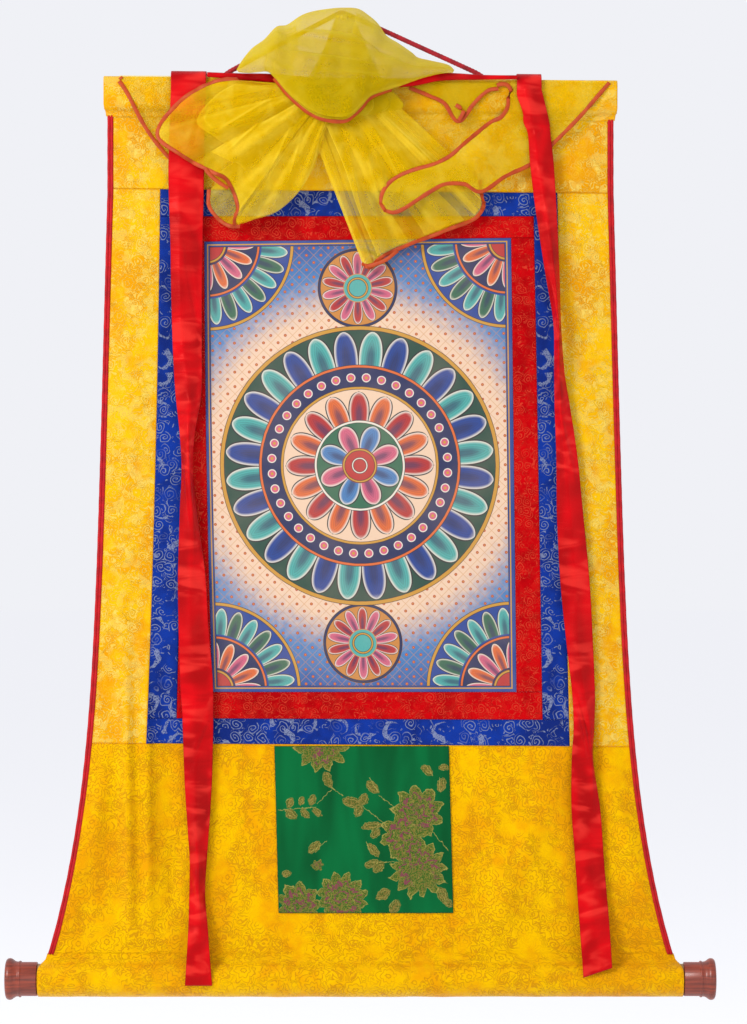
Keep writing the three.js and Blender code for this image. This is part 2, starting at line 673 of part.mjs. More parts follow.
// The hanging cord, behind the sleeve at both ends and over its hook in the middle.
const CORD = { thick: 6, sides: 10, steps: 30 };
const CORD_ROUTE = [
  [-178, 0, -120],
  [-178, 0, -104],
  [-177.6, 0, -92],
  [-173.5, 0, -81.5],
  [-165, 0, -74.4],
  [-150, 0, -66],
  [-120, 0, -49.7],
  [-90, 0, -33.8],
  [-60, 0, -17.9],
  [-40, 0, -7.4],
  [-30.5, 0, -2.4],
  [-23.4, 0, 0],
  [-16, 0, -2.2],
  [-5, 0, -7.1],
  [30, 0, -22.6],
  [65, 0, -38.6],
  [100, 0, -54.5],
  [130, 0, -68.2],
  [147, 0, -76.4],
  [156, 0, -83.5],
  [160, 0, -93],
  [160.6, 0, -106],
  [160.6, 0, -120],
];
function hangingCord() {
  const route = new THREE.CatmullRomCurve3(CORD_ROUTE.map((p) => new THREE.Vector3(...p)));
  const section = new THREE.Shape(
    count(CORD.sides).map((k) => {
      const a = (k / CORD.sides) * 2 * Math.PI;
      return new THREE.Vector2(Math.cos(a), Math.sin(a)).multiplyScalar(CORD.thick / 2);
    }),
  );
  return new THREE.ExtrudeGeometry(section, { steps: CORD.steps, extrudePath: route });
}

// Wood
const KNOB_PROFILE = [
  { r: 0, x: 0 },
  { r: KNOB.shaft, x: 0 },
  { r: KNOB.shaft, x: 19.5 },
  { r: 22.6, x: 20.5 },
  { r: 22.6, x: 22.5 },
  { r: 22, x: 24 },
  { r: 22.6, x: 27.5 },
  { r: 24.2, x: 30 },
  { r: 25.6, x: 31.5 },
  { r: KNOB.rim, x: 34 },
  { r: 25.6, x: 37 },
  { r: 24, x: 38.8 },
  { r: 20, x: 39.5 },
  { r: 0, x: 39.5 },
];
function knob() {
  const profile = KNOB_PROFILE.map((p) => new THREE.Vector2(p.r, p.x));
  return new THREE.LatheGeometry(profile, 24);
}

function batten() {
  const { deep, high, half, corner } = BATTEN;
  const [y, z] = [deep / 2 - corner, high / 2 - corner];
  const outline = new THREE.Shape();
  outline.absarc(y, z, corner, 0, Math.PI / 2);
  outline.absarc(-y, z, corner, Math.PI / 2, Math.PI);
  outline.absarc(-y, -z, corner, Math.PI, 1.5 * Math.PI);
  outline.absarc(y, -z, corner, 1.5 * Math.PI, 2 * Math.PI);
  return new THREE.ExtrudeGeometry(outline, { depth: 2 * half, bevelEnabled: false, curveSegments: 3 });
}

// Materials
const finish = (color, roughness, metalness = 0) =>
  new THREE.MeshStandardMaterial({ color, roughness, metalness });
const GOLD = finish(0xf5b515, 0.6);
const RED = finish(0xc4121a, 0.6);
const BLUE = finish(0x1440a8, 0.6);
const GREEN = finish(0x07703e, 0.6);
const CANVAS = finish(0x86a9c0, 0.8);
const SATIN_RED = finish(0xcf0a1c, 0.3);
const CORD_RED = finish(0x8e1020, 0.7);
const ORGANZA = finish(0xe8c81e, 0.5);
const ORANGE = finish(0xe06a22, 0.5);
const WOOD = finish(0x6b3222, 0.3);
const BARE_WOOD = finish(0xb08a5c, 0.7);

// Assembly
const scroll = new THREE.Group();
scroll.position.x = CENTRE_X;
function add(name, geometry, material) {
  const mesh = new THREE.Mesh(geometry, material);
  mesh.name = name;
  scroll.add(mesh);
  return mesh;
}

const S = SEAM;
const L = LEVEL;
const leftEdge = (z) => -brocadeHalf(z) - GAP / 2;
const rightEdge = (z) => brocadeHalf(z) + GAP / 2;
const PANELS = [
  ['painting', CANVAS, S.paintLeft, S.paintRight, L.paintTop, L.paintBottom, 10, 14],
  ['red_top', RED, S.redLeft, S.redRight, L.redTop, L.paintTop, 12, 1],
  ['red_bottom', RED, S.redLeft, S.redRight, L.paintBottom, L.redBottom, 12, 1],
  ['red_left', RED, S.redLeft, S.paintLeft, L.paintTop, L.paintBottom, 1, 16],
  ['red_right', RED, S.paintRight, S.redRight, L.paintTop, L.paintBottom, 1, 16],
  ['blue_top', BLUE, S.blueLeft, S.blueRight, L.borderTop, L.redTop, 14, 1],
  ['blue_bottom', BLUE, S.blueLeft, S.blueRight, L.redBottom, L.borderBottom, 14, 1],
  ['blue_left', BLUE, S.blueLeft, S.redLeft, L.redTop, L.redBottom, 1, 18],
  ['blue_right', BLUE, S.redRight, S.blueRight, L.redTop, L.redBottom, 1, 18],
  ['side_left', GOLD, leftEdge, S.blueLeft, L.borderTop, L.borderBottom, 4, 20],
  ['side_right', GOLD, S.blueRight, rightEdge, L.borderTop, L.borderBottom, 4, 20],
];
for (const [name, material, left, right, top, bottom, columns, rows] of PANELS) {
  add(name, panel({ left, right, top, bottom, columns, rows }), material);
}
add('header_panel', alongPath(headerPath(), 12, headTilt), GOLD);
add('foot_panel', alongPath(footPath(), 20, footTilt), GOLD);
add('green_panel', door(), GREEN);
add('trim_left', trim(-1), SATIN_RED);
add('trim_right', trim(1), SATIN_RED);
add('ribbon_left', ribbon(RIBBON_LEFT, 0), SATIN_RED);
add('ribbon_right', ribbon(RIBBON_RIGHT, 12), SATIN_RED);
add('satin_band', satinBand(), SATIN_RED);

add('veil', veil(), ORGANZA);
add('binding_side', hemBinding('back', 0, 7), ORANGE);
add('binding_left', hemBinding('left', 0, 20), ORANGE);
add('binding_under', hemBinding('under'), ORANGE);
add('binding_lower', hemBinding('right'), ORANGE);
add('binding_swag', swagBinding(), ORANGE);
add('binding_corner', hemBinding('corner'), ORANGE);
add('binding_puff', hemBinding('puff', 7, 26), ORANGE);
add('hanging_cord', hangingCord(), CORD_RED);

// The board's section is drawn in Y and Z and runs along X, on the top's slope.
const board = add('top_batten', batten(), BARE_WOOD);
const along = new THREE.Vector3(1, 0, HEAD_SLOPE).normalize();
const upward = new THREE.Vector3(-HEAD_SLOPE, 0, 1).normalize();
board.setRotationFromMatrix(new THREE.Matrix4().makeBasis(new THREE.Vector3(0, 1, 0), upward, along));
board.position.set(-BATTEN.half, BATTEN.y, BATTEN.z - HEAD_SLOPE * BATTEN.half);

const rod = new THREE.CylinderGeometry(ROLL.rod, ROLL.rod, 2 * ROLL.half, 28);
const roller = add('bottom_rod', rod, BARE_WOOD);
roller.rotation.z = Math.PI / 2;
roller.position.set(0, ROLL_Y, ROLL.z);
for (const [name, side] of [['knob_left', -1], ['knob_right', 1]]) {
  const end = add(name, knob(), WOOD);
  end.rotation.z = -side * Math.PI / 2;
  end.position.set(side * KNOB.start, ROLL_Y, ROLL.z);
}

export default scroll;
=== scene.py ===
"""A hanging scroll painting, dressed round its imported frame.

Tables and formulas are in millimetres: x from the cloth's middle, z from the hanging point, and "out" or "rise"
is how far something stands towards the viewer, which is towards -Y. Meshes are written in metres, in the frame's
axes.
"""

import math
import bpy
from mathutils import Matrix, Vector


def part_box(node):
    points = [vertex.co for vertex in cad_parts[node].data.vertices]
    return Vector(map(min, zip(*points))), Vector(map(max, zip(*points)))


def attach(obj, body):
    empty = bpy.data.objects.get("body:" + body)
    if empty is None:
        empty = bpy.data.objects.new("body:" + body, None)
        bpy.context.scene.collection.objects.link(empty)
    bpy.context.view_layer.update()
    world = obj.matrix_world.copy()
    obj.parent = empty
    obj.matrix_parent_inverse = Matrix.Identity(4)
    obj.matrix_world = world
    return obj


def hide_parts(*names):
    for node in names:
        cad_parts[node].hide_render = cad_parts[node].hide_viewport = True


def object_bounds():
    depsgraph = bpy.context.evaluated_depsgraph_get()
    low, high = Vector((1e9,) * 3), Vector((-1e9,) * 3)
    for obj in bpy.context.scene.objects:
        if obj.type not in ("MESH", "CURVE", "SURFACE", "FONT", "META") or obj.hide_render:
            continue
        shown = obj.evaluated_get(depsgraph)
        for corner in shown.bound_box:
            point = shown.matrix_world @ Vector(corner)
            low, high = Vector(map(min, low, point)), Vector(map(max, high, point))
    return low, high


bl_info = {
    "name": "Scroll painting",
    "version": (1, 0, 0),
    "blender": (4, 5, 0),
    "location": "View3D > Sidebar > Scroll",
    "description": "Builds a hanging scroll painting: brocade mount, painting, veil, ribbons, cord and wood",
    "category": "Object",
}

from types import SimpleNamespace

import bpy
import numpy as np
from mathutils import Vector

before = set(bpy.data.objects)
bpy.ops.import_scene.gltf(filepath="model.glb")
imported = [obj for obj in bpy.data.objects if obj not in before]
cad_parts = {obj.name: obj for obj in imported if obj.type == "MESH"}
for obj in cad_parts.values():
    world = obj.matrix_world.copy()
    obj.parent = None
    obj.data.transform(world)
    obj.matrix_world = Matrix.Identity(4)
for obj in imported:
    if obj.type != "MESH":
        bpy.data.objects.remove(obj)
CAD_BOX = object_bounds()

MM = 0.001


def frame_box(node):
    """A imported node's lowest and highest corners, in millimetres."""
    low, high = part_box(node)
    return np.array(low) / MM, np.array(high) / MM


# Sizes taken from the frame
ROD_LOW, ROD_HIGH = frame_box("bottom_rod")
BATTEN_LOW, BATTEN_HIGH = frame_box("top_batten")
CENTRE_X = (ROD_LOW[0] + ROD_HIGH[0]) / 2
ROD = (ROD_HIGH[2] - ROD_LOW[2]) / 2
ROD_HALF = (ROD_HIGH[0] - ROD_LOW[0]) / 2
ROLL_Y = (ROD_LOW[1] + ROD_HIGH[1]) / 2
ROLL_Z = (ROD_LOW[2] + ROD_HIGH[2]) / 2
BATTEN_Y = (BATTEN_LOW[1] + BATTEN_HIGH[1]) / 2
BATTEN_Z = (BATTEN_LOW[2] + BATTEN_HIGH[2]) / 2
BATTEN_DEEP = BATTEN_HIGH[1] - BATTEN_LOW[1]

# Sizes of the cut and sewn pieces
GAP = 0.3
SEAM = 0.02
CLOTH = 2.0
SATIN = 1.5
BATTEN_HIGH_Z = 34.0
BATTEN_CORNER = 3.0
BATTEN_EASE = 0.4
HEAD_SLOPE = -0.0087
BORDER_SLOPE = -0.0094
FOOT_SLOPE = -0.0065
HEAD_SEAM_Z = -128.0
HEAD_FLAP_Z = -135.0
HEAD_HALF = 321.0
TRIM_WIDE = 7.0
TRIM_BOTTOM_Z = -1177.0
BORDER_TOP_Z = -225.0
BORDER_BOTTOM_Z = -917.0
FOOT_SEAM_Z = -1186.0
ROLL_EASE = 1.1
TOP_HALF = 316.3  # half the cloth's width at the border's top
CLOTH_LONG = 954.0  # from there to the roll
WIDENS = 25.0
FLARE = 49.0
FLARE_POWER = 5.5
HEADER_LONG = 190.0  # cut lengths, with the ways round the batten and the roll
FOOT_LONG = 405.0

# Stage, in metres and watts
CAMERA = (0.0397, -4.44, -0.6263)
LENS = 124.4
SENSOR = 36.0
WALL_TINT = (240, 241, 246)
FLOOR_TINT = (254, 254, 255)
FLOOR_HALF = 30.0
FLOOR_DROP = 0.35
AIM = (0.02, 0.0, -0.62)
LIGHTS = [  # name, place, power, size
    ("key", (-2.4, -2.5, 1.1), 105.0, 1.3),
    ("fill", (2.2, -3.0, -0.6), 16.0, 2.2),
]


# Tables and small curves
class Rows:
    """A short table with named columns, read as one smooth curve: at(0) is the first row and at(1) the last.

    Between rows each column follows the Catmull-Rom cubic through the four nearest rows.
    """

    def __init__(self, names, rows):
        self.names = names.split()
        self.values = np.array(rows, float)

    def at(self, t):
        t = np.clip(np.asarray(t, float), 0, 1) * (len(self.values) - 1)
        i = np.minimum(t.astype(int), len(self.values) - 2)
        f = (t - i)[..., None]
        a, b, c, d = (self.values[np.clip(i + k, 0, len(self.values) - 1)] for k in (-1, 0, 1, 2))
        value = b + 0.5 * f * (c - a + f * (2 * a - 5 * b + 4 * c - d + f * (3 * (b - c) + d - a)))
        return SimpleNamespace(**{name: value[..., k] for k, name in enumerate(self.names)})


def mix(a, b, t):
    return a + (b - a) * t


def ease(t):
    """Smoothstep: 0 below 0, 1 above 1, and 3t^2 - 2t^3 between."""
    t = np.clip(t, 0, 1)
    return t * t * (3 - 2 * t)


def bell(distance, wide):
    """A Gaussian bump, 1 at distance 0."""
    return np.exp(-((distance / wide) ** 2))


def mottle(x, y, size, seed):
    """Smooth value noise from -1 to 1: random values on a lattice `size` apart, blended by smoothstep."""
    values = np.random.default_rng(seed).uniform(-1, 1, (64, 64))
    gx, gy = x / size + 640, y / size + 640
    i, j = np.floor(gx).astype(int), np.floor(gy).astype(int)
    fx, fy = ease(gx - i), ease(gy - j)
    corner = lambda a, b: values[(i + a) % 64, (j + b) % 64]
    return mix(mix(corner(0, 0), corner(1, 0), fx), mix(corner(0, 1), corner(1, 1), fx), fy)


def creases(x, z, rows):
    """The height of straight creases: each row's rise times a bell of the distance from its line.

    A crease fades towards both its ends as a half sine.
    """
    height = np.zeros(np.broadcast(x, z).shape)
    for from_x, from_z, to_x, to_z, wide, rise in rows:
        way = np.array([to_x - from_x, to_z - from_z], float)
        length = np.hypot(*way)
        along = ((x - from_x) * way[0] + (z - from_z) * way[1]) / length**2
        across = ((x - from_x) * way[1] - (z - from_z) * way[0]) / length
        height += rise * bell(across, wide) * np.sin(np.pi * np.clip(along, 0, 1)) ** 0.7
    return height


# The cloth's surface
FOLDS = [  # x, z, lean, wide, long, rise
    (-291, -1000, 0.03, 10, 190, 8),
    (-267, -990, 0.02, 9, 170, 6),
    (-346, -1060, -0.25, 16, 120, 7),
    (-236, -1050, 0.1, 24, 140, -4),
    (196, -1070, -0.4, 22, 130, 6),
    (338, -1050, 0.22, 18, 150, 7),
    (0, -1110, 0, 130, 70, 3),
    (-288, -520, -0.03, 26, 280, 3),
    (286, -600, 0.03, 28, 280, 3),
    (10, -560, 0, 150, 220, 3),
]
FOLD_FADE = 70.0
CLOTH_CREASES = [  # from_x, from_z, to_x, to_z, wide, rise
    (-291, -780, -288, -1175, 4.0, 4.0),
    (-267, -800, -264, -1170, 3.5, 3.2),
    (-318, -860, -336, -1170, 9, 2.4),
    (-240, -900, -236, -1160, 12, -2.6),
    (150, -930, 190, -1160, 14, 2.4),
    (215, -960, 330, -1150, 12, 2.6),
    (-330, -930, -372, -1150, 6, 1.6),
    (-205, -950, -250, -1160, 9, -1.6),
    (176, -960, 250, -1150, 8, 1.5),
    (300, -940, 366, -1120, 7, 1.6),
    (210, -1120, 262, -960, 6, 1.0),
    (60, -1140, 160, -1080, 9, 1.2),
    (-60, -1150, 60, -1135, 8, 0.9),
    (300, -226, 322, -262, 5, 1.2),
    (283, -222, 318, -206, 4, 0.9),
    (-300, -170, -262, -214, 5, 1.0),
    (262, -180, 308, -150, 5, 0.8),
    (-306, -330, -268, -300, 7, 0.8),
    (312, -420, 272, -470, 8, 0.8),
    (-322, -640, -280, -700, 8, 0.8),
    (322, -735, 284, -790, 8, 0.9),
]


def fold_rise(x, z):
    """Broad folds, each a bell across times a bell along, plus creases and a fine unevenness.

    All of it fades at both ends.
    """
    fade = ease((HEAD_FLAP_Z - z) / FOLD_FADE) * ease((z - FOOT_SEAM_Z) / FOLD_FADE)
    rise = np.zeros(np.broadcast(x, z).shape)
    for fold_x, fold_z, lean, wide, long, high in FOLDS:
        rise += high * bell(x - fold_x + lean * (z - fold_z), wide) * bell(z - fold_z, long)
    fine = creases(x, z, CLOTH_CREASES)
    loose = 1 - ease((270 - np.abs(x)) / 40) * ease((z + 930) / 30)
    fine += (0.5 * mottle(x, z, 46, 3) + 0.28 * mottle(x, z, 19, 4)) * mix(0.5, 1.5, loose)
    return rise * fade + fine * mix(0.35, 1, fade)


def cloth_y(x, z):
    """The middle of the cloth: a straight fall from the batten to the roll, less its folds."""
    down = np.clip((HEAD_SEAM_Z - z) / (HEAD_SEAM_Z - FOOT_SEAM_Z), 0, 1)
    return mix(BATTEN_Y, ROLL_Y - 1, down) - fold_rise(x, z)


def half_width(z):
    """Half the whole cloth's width: it widens steadily, and flares by a steep power just above the roll."""
    t = np.clip((BORDER_TOP_Z - z) / CLOTH_LONG, 0, 1)
    return TOP_HALF + WIDENS * t + FLARE * t**FLARE_POWER


def brocade_half(z):
    return half_width(z) - TRIM_WIDE - SEAM


def upright(top, bottom, bow=0.0):
    """An upright seam's x at height z: straight from top to bottom with a parabolic bow."""

    def seam(z):
        t = np.clip((BORDER_TOP_Z - z) / (BORDER_TOP_Z - BORDER_BOTTOM_Z), 0, 1)
        return mix(top, bottom, t) + bow * 4 * t * (1 - t)

    return seam


def level(z, slope=0.0):
    return lambda x: z + slope * x


SEAMS = SimpleNamespace(
    side_left=lambda z: -brocade_half(z),
    blue_left=upright(-250.3, -267.2, 2.4),
    red_left=upright(-219.5, -230.5, 2),
    paint_left=upright(-195.6, -183, -3),
    paint_right=upright(187.6, 195.6, 0.3),
    red_right=upright(216.2, 228, 0.3),
    blue_right=upright(245.8, 261.4),
    side_right=brocade_half,
    border_top=level(BORDER_TOP_Z, BORDER_SLOPE),
    red_top=level(-256.4),
    paint_top=level(-285.8, 0.012),
    paint_bottom=level(-851.2),
    red_bottom=level(-885, -0.004),
    border_bottom=level(BORDER_BOTTOM_Z, FOOT_SLOPE),
)


# Meshes
def make_piece(name, points, faces, material, uv=None, **marks):
    """A mesh object from points in millimetres and groups of faces as index arrays.

    The UV is in metres. Each mark is a number for every point: "rim" is the distance from the piece's nearest
    edge in millimetres, and "cover" is the share of light that the cloth stops there.
    """
    mesh = bpy.data.meshes.new(name)
    world = (np.asarray(points, float).reshape(-1, 3) + [CENTRE_X, 0, 0]) * MM
    mesh.from_pydata(world, [], [face for group in faces for face in group.tolist()])
    if uv is not None:
        layer = mesh.uv_layers.new(name="flat")
        corners = np.empty(len(mesh.loops), int)
        mesh.loops.foreach_get("vertex_index", corners)
        layer.data.foreach_set("uv", np.asarray(uv, float).reshape(-1, 2)[corners].ravel())
    for mark, values in marks.items():
        layer = mesh.attributes.new(mark, "FLOAT", "POINT")
        layer.data.foreach_set("value", np.asarray(values, np.float32).ravel())
    mesh.polygons.foreach_set("use_smooth", np.ones(len(mesh.polygons), bool))
    mesh.materials.append(material)
    mesh.update()
    piece = bpy.data.objects.new(name, mesh)
    bpy.context.scene.collection.objects.link(piece)
    return piece


def grid_faces(rows, columns, start=0, flip=False):
    """Quads of a grid stored row by row, facing the viewer when rows run down and columns to the right."""
    index = np.arange(rows * columns).reshape(rows, columns) + start
    a, b, c, d = index[:-1, :-1], index[:-1, 1:], index[1:, 1:], index[1:, :-1]
    order = (a, b, c, d) if flip else (a, d, c, b)
    return np.stack(order, axis=-1).reshape(-1, 4)


def steps(length, step, rim=()):
    """Stations from 0 to 1 along a length, `step` apart, with closer ones these distances from both ends."""
    even = np.linspace(0, 1, max(int(round(length / step)), 2) + 1)
    near = np.array(rim) / length
    even = even[(even > near.max() * 1.4) & (even < 1 - near.max() * 1.4)] if len(rim) else even[1:-1]
    return np.unique(np.concatenate([[0, 1], near, even, 1 - near]))


def surface_normals(points):
    """Unit normals of a grid of points, differences down the rows crossed with those to the right."""
    down = np.gradient(points, axis=0)
    right = np.gradient(points, axis=1)
    normal = np.cross(down, right)
    return normal / np.maximum(np.linalg.norm(normal, axis=-1, keepdims=True), 1e-9)


RIM = (0.25, 0.7, 1.4)


def run_along(path):
    """The length of a path up to each of its points."""
    return np.concatenate([[0], np.cumsum(np.linalg.norm(np.diff(path, axis=0), axis=1))])


def sheet(name, place, across, down, size, thick, material, reverse=None, edge=1.2):
    """A closed sheet on the grid place(u, v), with half its thickness on each side along its normal.

    Near its edges the thickness falls off as a quarter circle, so they look turned in. Its back may have
    another material, the reverse of its cloth.
    """
    u, v = np.meshgrid(across, down)
    middle = place(u, v)
    rim = np.minimum.reduce([u * size[0], (1 - u) * size[0], v * size[1], (1 - v) * size[1]])
    round_off = np.sqrt(1 - (1 - np.clip(rim / edge, 0, 1)) ** 2)
    half = surface_normals(middle) * (thick / 2 * np.maximum(round_off, 0.3))[..., None]
    rows, columns = u.shape
    points = np.concatenate([(middle + half).reshape(-1, 3), (middle - half).reshape(-1, 3)])
    index = np.arange(rows * columns).reshape(rows, columns)
    loop = np.concatenate([index[:-1, 0], index[-1, :-1], index[:0:-1, -1], index[0, :0:-1]])
    after = np.roll(loop, -1)
    back = rows * columns
    walls = np.stack([loop, loop + back, after + back, after], axis=-1)
    faces = np.concatenate([grid_faces(rows, columns), grid_faces(rows, columns, back, flip=True), walls])
    uv = stack(run_along(middle[rows // 2])[None, :], run_along(middle[:, columns // 2])[:, None]) * MM
    uv = np.concatenate([uv.reshape(-1, 2)] * 2)
    piece = make_piece(name, points, [faces], material, uv, rim=np.concatenate([rim.ravel()] * 2))
    if reverse is not None:
        piece.data.materials.append(reverse)
        behind = np.arange(len(faces)) // ((rows - 1) * (columns - 1)) == 1
        piece.data.polygons.foreach_set("material_index", behind.astype(np.int32))
    return piece


def stack(*parts):
    """x, y and z arrays as one array of points."""
    return np.stack(np.broadcast_arrays(*parts), axis=-1)


def unit(vectors):
    return vectors / np.linalg.norm(vectors, axis=-1, keepdims=True)


def ring_faces(rings, sides):
    """Closed rings of points: their numbers, each one's neighbour round its ring, and the quads between rings."""
    index = np.arange(rings * sides).reshape(rings, sides)
    beside = np.roll(index, -1, axis=1)
    walls = np.stack([index[:-1], beside[:-1], beside[1:], index[1:]], axis=-1).reshape(-1, 4)
    return index, beside, walls


def tube(centre, radius, sides, twist):
    """Rings of points round a path, closed by a point at both ends: the points, their faces and UVs.

    Each ring stands square to the path. Its radius is scaled by twist(angle, length so far).
    """
    centre = np.asarray(centre, float)
    along = unit(np.gradient(centre, axis=0))
    side = unit(np.cross(along, [0.0, 1.0, 0.02]))
    other = np.cross(along, side)
    run = run_along(centre)
    angle = np.linspace(0, 2 * np.pi, sides, endpoint=False)
    r = radius * np.ones((len(centre), sides)) * twist(angle[None, :], run[:, None])
    rings = centre[:, None] + r[..., None] * (
        np.cos(angle)[None, :, None] * side[:, None] + np.sin(angle)[None, :, None] * other[:, None]
    )
    index, beside, walls = ring_faces(len(centre), sides)
    caps = end_fans(index, beside, index.size)
    points = np.concatenate([rings.reshape(-1, 3), centre[[0, -1]]])
    uv = stack(run[:, None], angle[None, :] * radius).reshape(-1, 2)
    uv = np.concatenate([uv, [[0, 0], [run[-1], 0]]]) * MM
    return points, [walls, caps], uv


def end_fans(index, beside, first):
    """Triangles from the first and last ring to the points `first` and `first` + 1 in their middles."""
    start = np.stack([np.full(index.shape[1], first), beside[0], index[0]], axis=-1)
    end = np.stack([np.full(index.shape[1], first + 1), index[-1], beside[-1]], axis=-1)
    return np.concatenate([start, end])


def join(parts):
    """Several (points, faces, uv) groups as one."""
    points, faces, uv, start = [], [], [], 0
    for part_points, part_faces, part_uv in parts:
        points.append(part_points.reshape(-1, 3))
        faces += [group + start for group in part_faces]
        uv.append(part_uv.reshape(-1, 2))
        start += len(points[-1])
    return np.concatenate(points), faces, np.concatenate(uv)


# Patterns as arithmetic on shader sockets
class Field:
    """A number at every point of a surface. Arithmetic on it adds Math nodes to the material."""

    def __init__(self, tree, socket):
        self.tree = tree
        self.socket = socket

    def math(self, operation, *others):
        node = self.tree.nodes.new("ShaderNodeMath")
        node.operation = operation
        for plug, value in zip(node.inputs, (self, *others)):
            if isinstance(value, Field):
                self.tree.links.new(value.socket, plug)
            else:
                plug.default_value = value
        return Field(self.tree, node.outputs[0])

    def __add__(self, other):
        return self.math("ADD", other)

    def __sub__(self, other):
        return self.math("SUBTRACT", other)

    def __mul__(self, other):
        return self.math("MULTIPLY", other)

    def __truediv__(self, other):
        return self.math("DIVIDE", other)

    def __neg__(self):
        return self.math("MULTIPLY", -1.0)

    __radd__ = __add__
    __rmul__ = __mul__

    def __rsub__(self, other):
        return (-self) + other

    def sin(self):
        return self.math("SINE")

    def abs(self):
        return self.math("ABSOLUTE")

    def fract(self):
        return self.math("FRACT")

    def floor(self):
        return self.math("FLOOR")

    def power(self, exponent):
        return self.math("POWER", exponent)

    def least(self, other):
        return self.math("MINIMUM", other)

    def most(self, other):
        return self.math("MAXIMUM", other)

    def angle_to(self, x):
        return self.math("ARCTAN2", x)

    def above(self, edge, soft):
        """0 below the edge and 1 above it, eased over a width of `soft`."""
        node = self.tree.nodes.new("ShaderNodeMapRange")
        node.interpolation_type = "SMOOTHSTEP"
        self.tree.links.new(self.socket, node.inputs["Value"])
        low, high = node.inputs["From Min"], node.inputs["From Max"]
        if isinstance(edge, Field):
            self.tree.links.new((edge - soft / 2).socket, low)
            self.tree.links.new((edge + soft / 2).socket, high)
        else:
            low.default_value, high.default_value = edge - soft / 2, edge + soft / 2
        return Field(self.tree, node.outputs[0])

    def below(self, edge, soft):
        return 1 - self.above(edge, soft)

    def line(self, wide, soft):
        """1 where the field is within `wide` of 0."""
        return self.abs().below(wide, soft)


class Paint:
    """A material under construction: coordinates, noises, colour mixes and the final shader."""

    def __init__(self, name):
        self.material = bpy.data.materials.new(name)
        self.material.use_nodes = True
        self.tree = self.material.node_tree
        self.tree.nodes.clear()
        self.coordinates = self.node("ShaderNodeTexCoord")

    def node(self, kind, **values):
        node = self.tree.nodes.new(kind)
        for name, value in values.items():
            setattr(node, name, value)
        return node

    def plug(self, value, socket):
        if isinstance(value, Field):
            self.tree.links.new(value.socket, socket)
        elif isinstance(value, bpy.types.NodeSocket):
            self.tree.links.new(value, socket)
        else:
            socket.default_value = value

    def axes(self, vector):
        """The three parts of a vector socket, as fields."""
        split = self.node("ShaderNodeSeparateXYZ")
        self.tree.links.new(vector, split.inputs[0])
        return [Field(self.tree, out) for out in split.outputs]

    def vector(self, x, y, z=0.0):
        join_node = self.node("ShaderNodeCombineXYZ")
        for value, socket in zip((x, y, z), join_node.inputs):
            self.plug(value, socket)
        return join_node.outputs[0]

    def flat(self):
        """The piece's own UV in millimetres: x across it and y down it."""
        x, y, _ = self.axes(self.coordinates.outputs["UV"])
        return x * 1000.0, y * 1000.0

    def place(self):
        """Object coordinates in millimetres."""
        return [axis * 1000.0 for axis in self.axes(self.coordinates.outputs["Object"])]

    def noise(self, x, y, size, detail=2.0, z=0.0, distortion=0.0):
        node = self.node("ShaderNodeTexNoise")
        self.tree.links.new(self.vector(x, y, z), node.inputs["Vector"])
        node.inputs["Scale"].default_value = 1.0 / size
        node.inputs["Detail"].default_value = detail
        node.inputs["Distortion"].default_value = distortion
        return Field(self.tree, node.outputs["Fac"])

    def cells(self, x, y, size, jitter=0.8):
        """Voronoi cells: x and y from the nearest cell's centre, and two random numbers for that cell."""
        node = self.node("ShaderNodeTexVoronoi")
        self.tree.links.new(self.vector(x / size, y / size), node.inputs["Vector"])
        node.inputs["Scale"].default_value = 1.0
        node.inputs["Randomness"].default_value = jitter
        centre_x, centre_y, _ = self.axes(node.outputs["Position"])
        first, second, _ = self.axes(node.outputs["Color"])
        return x - centre_x * size, y - centre_y * size, first, second

    def blend(self, amount, first, second):
        node = self.node("ShaderNodeMix", data_type="RGBA")
        self.plug(amount, node.inputs["Factor"])
        self.plug(colour(first), node.inputs["A"])
        self.plug(colour(second), node.inputs["B"])
        return node.outputs["Result"]

    def bump(self, height, distance):
        """A normal from a height field of 0 to 1 that stands for `distance` in millimetres."""
        node = self.node("ShaderNodeBump")
        node.inputs["Distance"].default_value = distance * MM
        self.plug(height, node.inputs["Height"])
        return node.outputs["Normal"]

    def principled(self, base, roughness=0.5, normal=None, **values):
        shader = self.node("ShaderNodeBsdfPrincipled")
        self.plug(colour(base), shader.inputs["Base Color"])
        self.plug(roughness, shader.inputs["Roughness"])
        if normal is not None:
            self.plug(normal, shader.inputs["Normal"])
        for name, value in values.items():
            socket = name.replace("_", " ").title().replace("Ior", "IOR")
            self.plug(value, shader.inputs[socket])
        return shader.outputs[0]

    def finish(self, shader):
        output = self.node("ShaderNodeOutputMaterial")
        self.tree.links.new(shader, output.inputs["Surface"])
        return self.material


LIT = 1.42


def colour(value, light=LIT):
    """The dye of a colour as it looks in the picture, in sRGB bytes: linear, divided by the light on it.

    Sockets and ready colours pass through.
    """
    if isinstance(value, tuple) and len(value) == 3:
        share = np.array(value, float) / 255
        linear = np.where(share <= 0.04045, share / 12.92, ((share + 0.055) / 1.055) ** 2.4)
        return (*(linear / light).tolist(), 1.0)
    return value


def polar(x, y):
    """Distance from the middle and the angle round it, in turns."""
    return (x * x + y * y).power(0.5), y.angle_to(x) / (2 * math.pi)


